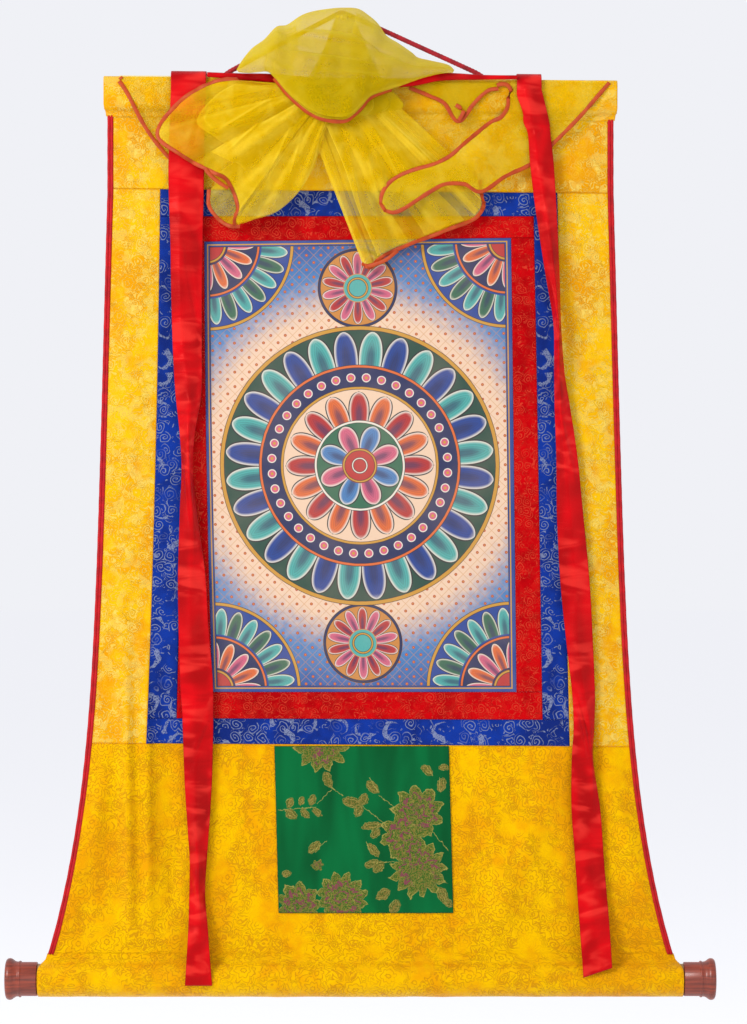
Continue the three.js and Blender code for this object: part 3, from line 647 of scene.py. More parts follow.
def curls(paint, x, y, size, wide, turns=2.2, keep=0.0):
    """Spirals in jittered cells: the line where r / pitch plus the angle is whole, out to 0.44 of a cell."""
    near_x, near_y, chance, turn = paint.cells(x, y, size, 0.7)
    r, angle = polar(near_x, near_y)
    hand = chance.above(0.5, 0.01) * 2.0 - 1.0
    pitch = size * 0.44 / turns
    line = ((r / pitch + angle * hand + turn * 3.0).fract() - 0.5).line(wide / pitch, 0.4 / pitch)
    inside = r.below(size * 0.44, 0.8)
    return line * inside * turn.above(keep, 0.02), inside


def comets(paint, x, y, size):
    """Commas: an arc whose radius and width shrink over 0.62 of a turn round each cell's middle."""
    near_x, near_y, chance, turn = paint.cells(x, y, size, 0.6)
    r, angle = polar(near_x, near_y)
    share = (angle + turn * 5.0).fract()
    radius = share * (-0.2 * size) + 0.38 * size
    wide = (0.62 - share).most(0.0) * (0.2 * size)
    body = ((r - radius).abs() - wide).below(-0.1, 0.5) * share.above(0.02, 0.02)
    return body * chance.above(0.45, 0.02)


def bloom(x, y, turn, radius, petals):
    """How far out in a flower: r over its edge with n petals.

    The edge is at R (0.66 + 0.34 (1 - |2 fract(n angle) - 1|)^0.7).
    """
    r, angle = polar(x, y)
    point = 1 - (((angle + turn) * petals).fract() * 2.0 - 1.0).abs()
    edge = point.power(0.7) * (0.34 * radius) + 0.66 * radius
    return r / edge


def tendrils(paint, x, y, size, wide, seed, levels):
    """Outlines like leaves and clouds: the level lines of a warped noise."""
    value = paint.noise(x, y, size, detail=1.0, z=seed, distortion=1.3)
    return ((value * levels).fract() - 0.5).line(wide, wide * 0.8)


def blossoms(paint, x, y, size, wide):
    """Flowers in jittered cells: three nested outlines with seven petals each, and the area inside them."""
    near_x, near_y, chance, turn = paint.cells(x, y, size, 0.8)
    share = bloom(near_x, near_y, turn * 2.0, size * 0.36, 7)
    inside = share.below(1.1, 0.05) * chance.above(0.34, 0.02)
    return ((share * 2.6).fract() - 0.5).line(wide, 0.1) * inside, inside


def weave(x, y, pitch):
    """A plain weave's bumps: the product of two sines a thread apart."""
    return ((x * (2 * math.pi / pitch)).sin() * (y * (2 * math.pi / pitch)).sin()) * 0.5 + 0.5


def seam_shade(paint, base, dark, share=0.6):
    """Painted shade: darker towards the stitched edges, where the cloth turns in."""
    rim = paint.node("ShaderNodeAttribute", attribute_name="rim")
    near = Field(paint.tree, rim.outputs["Fac"]).below(1.0, 1.8)
    return paint.blend(near * share, base, dark)


def brocade(name, ground, deep, thread, cloth):
    """Silk brocade: a satin ground with painted sheen and shade, with scrolls, commas, tendrils and flowers in
    thread.

    `cloth` gives the sizes of the patterns in millimetres, how much there is of each, and the thread's strength.
    """
    paint = Paint(name)
    x, y = paint.flat()
    warp_x = paint.noise(x, y, cloth.scroll * 0.7, detail=1.5, z=3.1) - 0.5
    warp_y = paint.noise(x, y, cloth.scroll * 0.7, detail=1.5, z=9.4) - 0.5
    wx, wy = x + warp_x * (cloth.scroll * 0.5), y + warp_y * (cloth.scroll * 0.5)
    lines, inside = curls(paint, wx, wy, cloth.scroll, cloth.line, keep=cloth.gaps)
    stems = tendrils(paint, wx, wy, cloth.scroll * 0.8, cloth.stem, 5.0, cloth.levels)
    lines = lines.most(stems * (1 - inside * cloth.clear))
    if cloth.flower:
        petals, bed = blossoms(paint, wx, wy, cloth.flower, 0.09)
        lines = petals.most(lines * (1 - bed))
    patchy = paint.noise(x, y, cloth.scroll * 2.2, detail=1.0, z=21.0).above(1 - cloth.cover, 0.14)
    grain = paint.noise(x, y, 1.3, detail=2.0, z=2.0)
    threads = lines * (patchy * 0.8 + 0.2)
    if cloth.commas:
        threads = threads.most(comets(paint, wx + 11.0, wy + 7.0, cloth.commas) * grain.above(0.42, 0.2))
    threads = threads * (grain * 1.2 + 0.35).least(1.0)
    # Painted sheen and shade: broad soft patches, drawn out down the cloth, turn the ground towards `deep`.
    broad = paint.noise(x, y * 0.45, cloth.shade, detail=3.0, z=14.0, distortion=0.5)
    fine = paint.noise(x, y, cloth.scroll * 0.9, detail=2.5, z=33.0)
    base = paint.blend((broad * 0.65 + fine * 0.35).above(0.5, 0.26), ground, deep)
    solid = paint.noise(wx, wy, cloth.scroll * 0.8, detail=0.5, z=40.0).above(0.58, 0.05)
    base = paint.blend(solid * patchy * cloth.petals, base, thread)
    base = paint.blend(threads * cloth.strong, base, thread)
    # Painted shade along the seams, in `deep`.
    base = seam_shade(paint, base, deep)
    height = threads * 0.7 + weave(x, y, 1.0) * 0.15 + broad * 0.6
    shader = paint.principled(
        base, cloth.rough, paint.bump(height, 0.5), specular_ior_level=0.3, specular_tint=colour(thread, 1.0)
    )
    return paint.finish(shader)


def satin(name, base, dark, light):
    """Satin ribbon: glossy, with painted highlights in crescents where it is crumpled, and painted shade in soft
    bands along it.
    """
    paint = Paint(name)
    x, y = paint.flat()
    crumple = paint.noise(x * 0.45, y, 17.0, detail=1.5, z=1.0, distortion=0.7)
    bands = paint.noise(x * 0.7, y * 0.3, 18.0, detail=1.0, z=7.0)
    where = paint.noise(x * 0.2, y, 90.0, detail=1.0, z=27.0).above(0.46, 0.16)
    weft = paint.noise(x * 0.05, y, 0.9, detail=1.0, z=17.0)
    # Painted shade: soft bands along the ribbon, in `dark`.
    tint = paint.blend(bands.above(0.52, 0.4) * 0.8, base, dark)
    # Painted highlights: crescents in `light` where the crumple noise is high.
    tint = paint.blend(crumple.above(0.58, 0.2) * where * 0.55, tint, light)
    # Painted shade where the crumple noise is low.
    tint = paint.blend(crumple.below(0.42, 0.2) * (where * 0.3 + 0.05), tint, dark)
    # Painted shade along the seams.
    tint = seam_shade(paint, tint, dark, 0.5)
    height = crumple * 0.6 + weft * 0.06 + bands * 0.3
    shader = paint.principled(
        tint, 0.38, paint.bump(height, 2.0), anisotropic=0.5, specular_ior_level=0.6,
        specular_tint=colour((255, 96, 84), 1.0),
    )
    return paint.finish(shader)


def organza(name, tint, pale):
    """Sheer silk: part of the light passes straight through, and the rest meets softly translucent threads.

    The piece's "cover" mark says how much of the light a layer stops.
    """
    paint = Paint(name)
    x, y, z = paint.place()
    cloud = paint.noise(x, z, 26.0, detail=3.0, z=4.0, distortion=0.5)
    grain = paint.noise(x, z, 1.4, detail=2.0, z=8.0)
    facing = paint.node("ShaderNodeLayerWeight")
    facing.inputs["Blend"].default_value = 0.5
    grazing = Field(paint.tree, facing.outputs["Facing"])
    crumple = paint.noise(x, z, 11.0, detail=2.0, z=24.0, distortion=0.6)
    dense = paint.node("ShaderNodeAttribute", attribute_name="cover")
    cover = Field(paint.tree, dense.outputs["Fac"])
    opacity = (cover + cloud * 0.1 + grain * 0.14 + grazing * 0.55 - 0.12).least(0.96)
    # Pale in cloudy patches, and pale at grazing angles as a painted sheen.
    light = paint.blend(cloud.above(0.55, 0.3) * 0.35 + grazing.above(0.3, 0.5) * 0.5, tint, pale)
    light = paint.blend(cover.above(0.44, 0.02) * 0.6, light, colour((196, 172, 0), 1.0))
    normal = paint.bump(crumple, 1.0)
    front = paint.principled(
        light, 0.45, normal, specular_ior_level=0.25, specular_tint=colour((255, 226, 110), 1.0)
    )
    back = paint.node("ShaderNodeBsdfTranslucent")
    paint.plug(light, back.inputs["Color"])
    paint.plug(normal, back.inputs["Normal"])
    threads = paint.node("ShaderNodeMixShader")
    threads.inputs["Fac"].default_value = 0.32
    paint.tree.links.new(front, threads.inputs[1])
    paint.tree.links.new(back.outputs[0], threads.inputs[2])
    holes = paint.node("ShaderNodeBsdfTransparent")
    whole = paint.node("ShaderNodeMixShader")
    paint.plug(opacity, whole.inputs["Fac"])
    paint.tree.links.new(holes.outputs[0], whole.inputs[1])
    paint.tree.links.new(threads.outputs[0], whole.inputs[2])
    return paint.finish(whole.outputs[0])


def plain_silk(name, base, dark, roughness=0.45):
    """Bias binding and cords: a plain silk with a fine diagonal weave and small changes of shade."""
    paint = Paint(name)
    x, y = paint.flat()
    shade = paint.noise(x, y, 12.0, detail=2.0)
    ribs = ((x + y) * (2 * math.pi / 1.2)).sin() * 0.5 + 0.5
    tint = paint.blend(shade.above(0.5, 0.5) * 0.7, base, dark)
    shader = paint.principled(tint, roughness, paint.bump(ribs, 0.12), specular_ior_level=0.3)
    return paint.finish(shader)


def wood(name, light, dark, roughness, coat):
    """Turned wood: grain drawn out along the rod, with fine pores and an optional lacquer coat."""
    paint = Paint(name)
    x, y, z = paint.place()
    grain = paint.noise(x * 0.06, z, 3.2, detail=4.0, z=y * 0.3, distortion=0.4)
    pores = paint.noise(x * 0.12, z, 0.8, detail=2.0, z=y)
    tint = paint.blend(grain.above(0.5, 0.5), light, dark)
    tint = paint.blend(pores.above(0.66, 0.1) * 0.25, tint, (40, 16, 10))
    shader = paint.principled(
        tint, roughness, paint.bump(grain, 0.03), coat_weight=coat, coat_roughness=0.18,
        coat_tint=colour((255, 190, 160), 1.0),
    )
    return paint.finish(shader)


def petal_ring(r, angle, inner, outer, count, turn, blunt):
    """One ring of petals: the mask inside them, their depth (0 at the edge), the share out, and which petal.

    A petal's half width, as a share of its sector, is sqrt(1 - t^blunt) for t from its base to its tip.
    """
    sector = angle * (count / (2 * math.pi)) + turn
    across = (sector.fract() - 0.5).abs() * 2.0
    out = (r - inner) / (outer - inner)
    wide = (1 - out.most(0.0).least(1.0).power(blunt)).power(0.5)
    depth = wide - across
    inside = depth.above(0.0, 0.04) * out.above(0.0, 0.02) * out.below(1.0, 0.02)
    return inside, depth, out, sector.floor()


PAINT_WIDE = 383.0
PAINT_HIGH = 565.0


def painted_canvas(name):
    """The painted field: a rosette of petal rings in a diapered ground, with roundels and plain bands."""
    paint = Paint(name)
    flat_x, flat_y = paint.flat()
    x, y = flat_x - PAINT_WIDE / 2, PAINT_HIGH / 2 - flat_y
    wobble = paint.noise(flat_x, flat_y, 9.0, detail=2.0) - 0.5
    r = (x * x + y * y).power(0.5) + wobble * 0.7
    angle = y.angle_to(x)
    ink, white, gold = (34, 26, 34), (236, 226, 208), (206, 148, 44)
    navy, deep_blue, sky, sea = (24, 34, 84), (20, 62, 142), (72, 128, 184), (74, 170, 162)
    leaf, moss, peach, ochre = (46, 104, 74), (28, 70, 54), (240, 204, 172), (204, 132, 52)
    red, orange, rose = (186, 40, 36), (226, 104, 38), (214, 96, 124)

    def over(tint, mask, new):
        return paint.blend(mask, tint, new)

    def petals(tint, inner, outer, count, pair, turn=0.0, blunt=2.0, radius=r, around=angle):
        inside, depth, out, which = petal_ring(radius, around, inner, outer, count, turn, blunt)
        odd = (which * 0.5).fract().above(0.25, 0.01)
        heart = paint.blend(odd, pair[0], pair[1])
        shade = paint.blend(depth.above(0.16, 0.3) * out.below(0.97, 0.3), white, heart)
        shade = paint.blend(depth.above(0.62, 0.5) * out.below(0.6, 0.6) * 0.7, shade, navy)
        vein = (depth.abs() * 6.0).fract().below(0.16, 0.1) * depth.above(0.2, 0.05) * 0.4
        shade = paint.blend(vein, shade, ink)
        tint = over(tint, inside, shade)
        rim = depth.line(0.05, 0.05) * out.above(0.0, 0.02) * out.below(1.02, 0.02)
        return over(tint, rim, ink)

    def ring(tint, radius, wide, new, measure=r):
        tint = over(tint, (measure - radius).line(wide / 2, 0.5), new)
        edge = ((measure - radius).abs() - wide / 2).line(0.35, 0.5)
        return over(tint, edge, ink)

    # Ground: peach round the rosette, then sky blue, then deep blue in the corners, with a small diaper
    tint = paint.blend((r + wobble * 30.0).above(214, 60), peach, sky)
    tint = over(tint, (r + wobble * 40.0).above(268, 80), deep_blue)
    across, over_y = (x + y) * 0.055, (x - y) * 0.055
    diaper = ((across.fract() - 0.5).line(0.03, 0.03)).most((over_y.fract() - 0.5).line(0.03, 0.03))
    tint = over(tint, diaper * 0.5, ochre)
    dot = ((across + 0.5).fract() - 0.5).power(2.0) + ((over_y + 0.5).fract() - 0.5).power(2.0)
    tint = over(tint, dot.below(0.02, 0.012), red)
    tint = over(tint, dot.below(0.005, 0.004), gold)

    # Four corner roundels, folded onto one quarter
    corner_x, corner_y = x.abs() - PAINT_WIDE / 2 + 4, y.abs() - PAINT_HIGH / 2 + 4
    corner = (corner_x * corner_x + corner_y * corner_y).power(0.5)
    corner_angle = corner_y.angle_to(corner_x)
    tint = over(tint, corner.below(108, 0.6), deep_blue)
    tint = ring(tint, 106, 4, gold, corner)
    tint = petals(tint, 68, 101, 28, (sea, leaf), 0.0, 2.2, corner, corner_angle)
    tint = over(tint, corner.below(66, 0.6), navy)
    tint = ring(tint, 64, 3, orange, corner)
    tint = petals(tint, 26, 60, 16, (rose, orange), 0.5, 2.0, corner, corner_angle)
    tint = over(tint, corner.below(24, 0.6), red)
    tint = ring(tint, 22, 3, gold, corner)

    # Two roundels above and below the middle
    mid_y = y.abs() - 222.0
    mid = (x * x + mid_y * mid_y).power(0.5)
    mid_angle = mid_y.angle_to(x)
    tint = over(tint, mid.below(50, 0.6), ochre)
    tint = ring(tint, 48, 3, navy, mid)
    tint = petals(tint, 18, 45, 14, (red, rose), 0.0, 2.0, mid, mid_angle)
    tint = over(tint, mid.below(17, 0.6), sea)
    tint = ring(tint, 12, 2.4, gold, mid)

    # The rosette in the middle
    tint = over(tint, r.below(174, 0.6), moss)
    tint = ring(tint, 172, 5, gold)
    tint = petals(tint, 126, 168, 28, (sea, deep_blue), 0.0, 2.2)
    tint = over(tint, r.below(126, 0.6), navy)
    tint = ring(tint, 124, 3.4, orange)
    bead_x = ((angle * (36 / (2 * math.pi))).fract() - 0.5) * (110 * 2 * math.pi / 36)
    bead_r = r - 110.0
    bead = (bead_x * bead_x + bead_r * bead_r).power(0.5)
    tint = over(tint, bead.below(5.6, 0.5), white)
    tint = over(tint, bead.below(4.4, 0.5), rose)
    tint = over(tint, bead.below(1.8, 0.5), gold)
    tint = ring(tint, 97, 3.4, gold)
    tint = over(tint, r.below(95, 0.6), peach)
    tint = petals(tint, 56, 92, 16, (red, orange), 0.5, 2.0)
    tint = over(tint, r.below(56, 0.6), leaf)
    tint = ring(tint, 55, 3, white)
    tint = petals(tint, 22, 52, 8, (rose, sky), 0.0, 1.8)
    tint = over(tint, r.below(22, 0.6), red)
    tint = ring(tint, 20, 2.6, gold)
    tint = ring(tint, 9, 2.0, white)

    # Plain bands along the edges
    edge = (PAINT_WIDE / 2 - x.abs()).least(PAINT_HIGH / 2 - y.abs())
    tint = over(tint, edge.below(7.0, 0.5), deep_blue)
    tint = over(tint, (edge - 4.4).line(0.8, 0.5), gold)
    tint = over(tint, (edge - 7.0).line(0.4, 0.4), ink)

    canvas = paint.noise(flat_x, flat_y, 60.0, detail=3.0, z=5.0)
    tint = over(tint, canvas.above(0.55, 0.5) * 0.08, peach)
    shader = paint.principled(tint, 0.62, paint.bump(weave(flat_x, flat_y, 0.8), 0.05))
    return paint.finish(shader)


# The green patch: x from its left edge and y down from its top, in millimetres
BLOOMS = [  # x, y, radius, petals, turn
    (58, -2, 36, 11, 0.03),
    (178, 82, 34, 9, 0.1),
    (160, 112, 33, 8, 0.35),
    (176, 154, 38, 13, 0.2),
    (80, 190, 34, 12, 0.0),
    (26, 198, 30, 9, 0.4),
    (50, 148, 8, 6, 0.1),
]
SEWN_LEAVES = [  # x, y, length, wide, degrees
    (69, 52, 21, 8, 250),
    (14, 77, 14, 6, 300),
    (12, 80, 17, 7, 38),
    (30, 74, 12, 5, 292),
    (32, 78, 15, 6, 55),
    (42, 74, 15, 6, 300),
    (46, 78, 14, 6, 42),
    (107, 74, 25, 9, 196),
    (107, 74, 16, 8, 292),
    (107, 74, 16, 7, 118),
    (131, 98, 25, 7, 172),
    (129, 104, 16, 7, 140),
    (129, 58, 20, 8, 222),
    (196, 36, 17, 7, 225),
    (206, 58, 19, 8, 280),
    (205, 28, 13, 6, 350),
    (40, 134, 20, 8, 312),
    (127, 138, 20, 7, 232),
    (130, 144, 22, 7, 166),
    (134, 146, 18, 7, 142),
    (5, 160, 13, 6, 350),
    (205, 190, 16, 7, 40),
    (140, 180, 20, 9, 150),
    (150, 192, 20, 9, 120),
    (200, 176, 22, 9, 62),
]
SEWN_STEMS = [  # from x, y to x, y
    (3, 80, 50, 76),
    (52, 72, 70, 54),
    (70, 52, 84, 62),
    (107, 74, 138, 100),
    (129, 62, 152, 80),
    (118, 40, 129, 58),
    (188, 24, 197, 37),
    (205, 40, 206, 58),
    (118, 146, 146, 144),
    (196, 108, 213, 130),
    (112, 120, 116, 130),
    (40, 134, 62, 118),
    (200, 176, 212, 200),
]


LEAF_FULL = 0.72


def green_brocade(name, ground, dark):
    """Green satin with stippled olive blooms and leaves, outlined in maroon and gold thread."""
    paint = Paint(name)
    x, y = paint.flat()
    wx = x + (paint.noise(x, y, 12.0, detail=3.0, z=1.0) - 0.5) * 11.0
    wy = y + (paint.noise(x, y, 12.0, detail=3.0, z=6.0) - 0.5) * 11.0
    grain = paint.noise(x, y, 1.5, detail=2.0, z=11.0)
    blobs = paint.noise(x, y, 7.0, detail=2.0, z=19.0)
    nearest = inside_leaf = off_stem = None
    for bloom_x, bloom_y, radius, count, turn in BLOOMS:
        share = bloom(wx - bloom_x, wy - bloom_y, turn, radius, count)
        nearest = share if nearest is None else nearest.least(share)
    near_x = x + (paint.noise(x, y, 4.5, detail=1.5, z=51.0) - 0.5) * 5.0
    near_y = y + (paint.noise(x, y, 4.5, detail=1.5, z=56.0) - 0.5) * 5.0
    for leaf_x, leaf_y, length, wide, degrees in SEWN_LEAVES:
        cos, sin = math.cos(math.radians(degrees)), math.sin(math.radians(degrees))
        along = ((near_x - leaf_x) * cos + (near_y - leaf_y) * sin) / length
        beside = ((near_y - leaf_y) * cos - (near_x - leaf_x) * sin).abs()
        past = (-along).most(along - 1).most(0.0) * length
        depth = (along * (1 - along) * 4.0).most(0.0).power(0.7) * (wide * LEAF_FULL) - beside - past
        inside_leaf = depth if inside_leaf is None else inside_leaf.most(depth)
    for from_x, from_y, to_x, to_y in SEWN_STEMS:
        length = math.hypot(to_x - from_x, to_y - from_y)
        cos, sin = (to_x - from_x) / length, (to_y - from_y) / length
        along = (near_x - from_x) * cos + (near_y - from_y) * sin
        off = ((near_y - from_y) * cos - (near_x - from_x) * sin).abs().most(-along).most(along - length)
        off_stem = off if off_stem is None else off_stem.least(off)
    petals = nearest.below(1.0, 0.03)
    leaves = inside_leaf.above(0.0, 0.5)
    gold = inside_leaf.line(0.25, 0.4).most(off_stem.below(0.36, 0.4)).most((nearest - 0.97).line(0.02, 0.03))
    gold = gold.most((inside_leaf - 2.6).line(0.25, 0.4))
    rings = ((nearest * 3.1 - blobs * 2.4).fract() - 0.5).line(0.04, 0.06)
    gold = gold.most(rings * nearest.below(0.97, 0.03) * 0.6)
    maroon = ((nearest * 2.4 + blobs * 2.0).fract() - 0.5).line(0.13, 0.1) * nearest.below(0.72, 0.08)
    maroon = maroon * paint.noise(x, y, 30.0, detail=1.0, z=44.0).above(0.38, 0.14)
    # Painted shade: soft dark bands along the satin ground.
    bands = paint.noise(x, y * 0.2, 40.0, detail=2.0, z=2.0, distortion=0.4)
    base = paint.blend(bands.above(0.5, 0.34), ground, dark)
    olive = paint.blend(grain.above(0.5, 0.16), (62, 92, 24), (132, 120, 46))
    olive = paint.blend(grain.above(0.6, 0.08) * blobs.above(0.5, 0.2) * 0.7, olive, (128, 62, 58))
    base = paint.blend(petals * 0.94, base, olive)
    brown = paint.blend(grain.above(0.5, 0.2), (78, 88, 26), (142, 116, 54))
    base = paint.blend(leaves * 0.94, base, brown)
    base = paint.blend(gold * (grain * 1.2 + 0.3).least(1.0) * 0.85, base, (178, 164, 84))
    base = paint.blend(maroon * (grain * 1.4 + 0.2).least(1.0) * 0.9, base, (140, 40, 84))
    # Painted shade along the seams.
    base = seam_shade(paint, base, (10, 60, 34), 0.7)
    height = petals.most(leaves) * 0.5 + maroon.most(gold) * 0.3 + bands * 0.8
    shader = paint.principled(
        base, 0.4, paint.bump(height, 0.4), specular_ior_level=0.35,
        specular_tint=colour((120, 220, 150), 1.0),
    )
    return paint.finish(shader)


# Settings
class ScrollSizes(bpy.types.PropertyGroup):
    """Sizes that a user may change, in metres."""

    grid: bpy.props.FloatProperty(
        name="Grid", description="Spacing of the cloth's points", default=0.0035, unit="LENGTH")
    binding_wide: bpy.props.FloatProperty(
        name="Binding width", description="Width of the veil's bias binding", default=0.005, unit="LENGTH")
    cord_thick: bpy.props.FloatProperty(
        name="Cord", description="Diameter of the hanging cord", default=0.006, unit="LENGTH")
    veil_cover: bpy.props.FloatProperty(
        name="Veil cover", description="Share of light that one layer of the veil stops", default=0.42,
        min=0.0, max=1.0, subtype="FACTOR")


def colour_property(name, description, value):
    return bpy.props.FloatVectorProperty(
        name=name, description=description, subtype="COLOR", size=3, min=0, max=1, default=colour(value)[:3])


class ScrollColours(bpy.types.PropertyGroup):
    """Colours of the cloths and threads."""

    gold: colour_property("Gold brocade", "Ground of the yellow brocade", (255, 198, 4))
    red: colour_property("Red brocade", "Ground of the inner border", (210, 2, 14))
    blue: colour_property("Blue brocade", "Ground of the outer border", (2, 52, 158))
    green: colour_property("Green brocade", "Ground of the patch", (0, 106, 54))
    satin: colour_property("Satin", "Ribbons and band", (226, 2, 18))
    cord: colour_property("Cord", "Hanging cord", (204, 12, 34))
    binding: colour_property("Binding", "The veil's binding", (206, 76, 0))
    lacquer: colour_property("Lacquer", "Turned knobs", (164, 66, 36))


def sizes():
    return bpy.context.scene.scroll_sizes


def colours():
    return bpy.context.scene.scroll_colours


def dye(name):
    return (*getattr(colours(), name), 1.0)


MATERIALS = {}


def material(make, name, *values):
    """A material by name, made on first use."""
    if name not in MATERIALS:
        MATERIALS[name] = make(name, *values)
    return MATERIALS[name]


GOLD_SIDE = SimpleNamespace(
    scroll=15.0, line=0.6, gaps=0.55, stem=0.15, levels=7.0, clear=0.0, flower=38.0,
    cover=0.6, commas=0, shade=60.0, petals=0.4, strong=0.7, rough=0.5)
GOLD_FOOT = SimpleNamespace(
    scroll=17.0, line=0.55, gaps=0.6, stem=0.13, levels=7.0, clear=0.0, flower=44.0,
    cover=0.62, commas=0, shade=80.0, petals=0.12, strong=0.75, rough=0.4)
RED_SCROLL = SimpleNamespace(
    scroll=14.0, line=0.5, gaps=0.45, stem=0.11, levels=6.0, clear=0.8, flower=0,
    cover=0.85, commas=0, shade=60.0, petals=0.06, strong=0.62, rough=0.5)
BLUE_SCROLL = SimpleNamespace(
    scroll=18.0, line=0.5, gaps=0.35, stem=0.07, levels=4.0, clear=1.0, flower=0,
    cover=0.6, commas=34, shade=60.0, petals=0.0, strong=0.72, rough=0.5)


def gold_cloth():
    # The second colour is the painted shade of the gold ground.
    return material(brocade, "gold_side", dye("gold"), (240, 160, 0), (250, 218, 104), GOLD_SIDE)


def cloth_back(name, tint):
    """The back of a cloth: plain and duller, with small changes of shade."""
    dark = tuple(int(part * 0.82) for part in tint)
    return material(plain_silk, name, tint, dark, 0.75)


def gold_back():
    return cloth_back("gold_back", (212, 160, 56))


def dress(piece, slot, *nodes):
    """A piece rides on the scroll's one body and hides the CAD nodes it stands for. `slot` is not used."""
    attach(piece, "root")
    if nodes:
        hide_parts(*nodes)
    return piece


def hang(piece, wide, high, on):
    """Works out a flat size in metres and keeps nothing. `piece` and `on` are not used."""
    wide * MM
    high * MM


# Cloth panels
PANELS = [  # name, slot, cloth, left, right, top and bottom seams
    ("red_top", "red_brocade", "red", "red_left", "red_right", "red_top", "paint_top"),
    ("red_bottom", "red_brocade", "red", "red_left", "red_right", "paint_bottom", "red_bottom"),
    ("red_left", "red_brocade", "red", "red_left", "paint_left", "paint_top", "paint_bottom"),
    ("red_right", "red_brocade", "red", "paint_right", "red_right", "paint_top", "paint_bottom"),
    ("blue_top", "blue_brocade", "blue", "blue_left", "blue_right", "border_top", "red_top"),
    ("blue_bottom", "blue_brocade", "blue", "blue_left", "blue_right", "red_bottom", "border_bottom"),
    ("blue_left", "blue_brocade", "blue", "blue_left", "red_left", "red_top", "red_bottom"),
    ("blue_right", "blue_brocade", "blue", "red_right", "blue_right", "red_top", "red_bottom"),
    ("side_left", "gold_brocade", "gold", "side_left", "blue_left", "border_top", "border_bottom"),
    ("side_right", "gold_brocade", "gold", "blue_right", "side_right", "border_top", "border_bottom"),
]


def panel(name, left, right, top, bottom, cloth, back):
    """A pressed panel between two upright seams and two level ones.

    x and z mix from seam to seam, and y is the cloth's own.
    """

    def place(u, v):
        guess = mix(top(0), bottom(0), v)
        near = mix(left(guess), right(guess), u)
        z = mix(top(near) - SEAM, bottom(near) + SEAM, v)
        x = mix(left(z) + SEAM, right(z) - SEAM, u)
        return stack(x, cloth_y(x, z), z)

    middle_z = (top(0) + bottom(0)) / 2
    wide, high = float(right(middle_z) - left(middle_z)), float(top(0) - bottom(0))
    grid = sizes().grid / MM
    across, down = steps(wide, grid, RIM), steps(high, grid, RIM)
    piece = sheet(name, place, across, down, (wide, high), CLOTH, cloth, back)
    hang(piece, wide, high, "header_panel")
    return piece


def over_batten(off, turn_steps):
    """Points over the batten from behind to in front, `off` away: quarter circles round its upper corners."""
    reach = BATTEN_CORNER + off
    rise = BATTEN_Z + BATTEN_HIGH_Z / 2 - BATTEN_CORNER
    back = np.linspace(-np.pi / 2, 0, turn_steps + 1)
    front = np.linspace(0, np.pi / 2, turn_steps + 1)
    shift = BATTEN_DEEP / 2 - BATTEN_CORNER
    y = np.concatenate([BATTEN_Y + shift - reach * np.sin(back), BATTEN_Y - shift - reach * np.sin(front)])
    z = np.concatenate([rise + reach * np.cos(back), rise + reach * np.cos(front)])
    return y, z


def resample(points, step):
    """Points an even step apart along a polyline."""
    points = np.asarray(points, float)
    run = np.concatenate([[0], np.cumsum(np.hypot(*np.diff(points[:, :2], axis=0).T))])
    at = np.linspace(0, run[-1], int(run[-1] / step) + 1)
    return np.stack([np.interp(at, run, points[:, k]) for k in range(points.shape[1])], axis=1), run[-1]


def header_path():
    """Up behind the batten, over it, down in front and in at the stitched line: y, z and half width."""
    off = BATTEN_EASE + CLOTH / 2
    out = BATTEN_DEEP / 2 + off
    low = BATTEN_Z - BATTEN_HIGH_Z / 2
    over_y, over_z = over_batten(off, 5)
    rows = [(BATTEN_Y + CLOTH + GAP, HEAD_SEAM_Z + 3, HEAD_HALF), (BATTEN_Y + out, low + 1, HEAD_HALF)]
    rows += [(y, z, HEAD_HALF) for y, z in zip(over_y, over_z)]
    rows += [
        (BATTEN_Y - out, low + 1, HEAD_HALF),
        (BATTEN_Y - out + 2.4, low - 3.4, HEAD_HALF - 0.5),
        (BATTEN_Y - 1.2, HEAD_SEAM_Z + 1.2, HEAD_HALF - 1.6),
        (BATTEN_Y, HEAD_SEAM_Z, HEAD_HALF - 2),
        (BATTEN_Y - 0.9, HEAD_SEAM_Z - 1.6, HEAD_HALF - 2.2),
        (BATTEN_Y - 0.6, HEAD_FLAP_Z + 0.8, HEAD_HALF - 3),
    ]
    return rows


def header(cloth):
    """The sleeve and header: a path over the batten, then the cloth's own surface down to the border."""
    rows, _ = resample(header_path(), 2.0)
    lower = np.linspace(HEAD_FLAP_Z, BORDER_TOP_Z + SEAM, 34)
    sleeve = len(rows)

    def place(u, v):
        k = np.round(v * (sleeve + len(lower) - 1)).astype(int)
        on_cloth = k >= sleeve
        s = rows[np.minimum(k, sleeve - 1)]
        side = 2 * u - 1
        free_z = lower[np.clip(k - sleeve, 0, len(lower) - 1)]
        half = np.where(on_cloth, brocade_half(free_z), s[..., 2])
        x = side * half
        slope = np.where(on_cloth & (free_z < HEAD_FLAP_Z), BORDER_SLOPE, HEAD_SLOPE)
        z = np.where(on_cloth, free_z, s[..., 1]) + x * slope
        x = np.where(on_cloth, side * brocade_half(z), x)
        front = (s[..., 0] < BATTEN_Y - 2) & ~on_cloth
        pucker = 0.35 * mottle(x, 0 * x, 9, 5) * bell(z - (HEAD_SEAM_Z + HEAD_SLOPE * x), 9)
        soft = (0.5 * mottle(x, z, 30, 6) + 0.3 * mottle(x, z, 12, 8)) * front
        y = np.where(on_cloth, cloth_y(x, z) + 0 * x, s[..., 0]) - pucker - np.maximum(soft, -0.25)
        return stack(x, y, z)

    down = np.linspace(0, 1, sleeve + len(lower))
    size = (2 * HEAD_HALF, HEADER_LONG)
    across = steps(size[0], sizes().grid / MM, RIM)
    return sheet("header_cloth", place, across, down, size, CLOTH, cloth, gold_back()), size


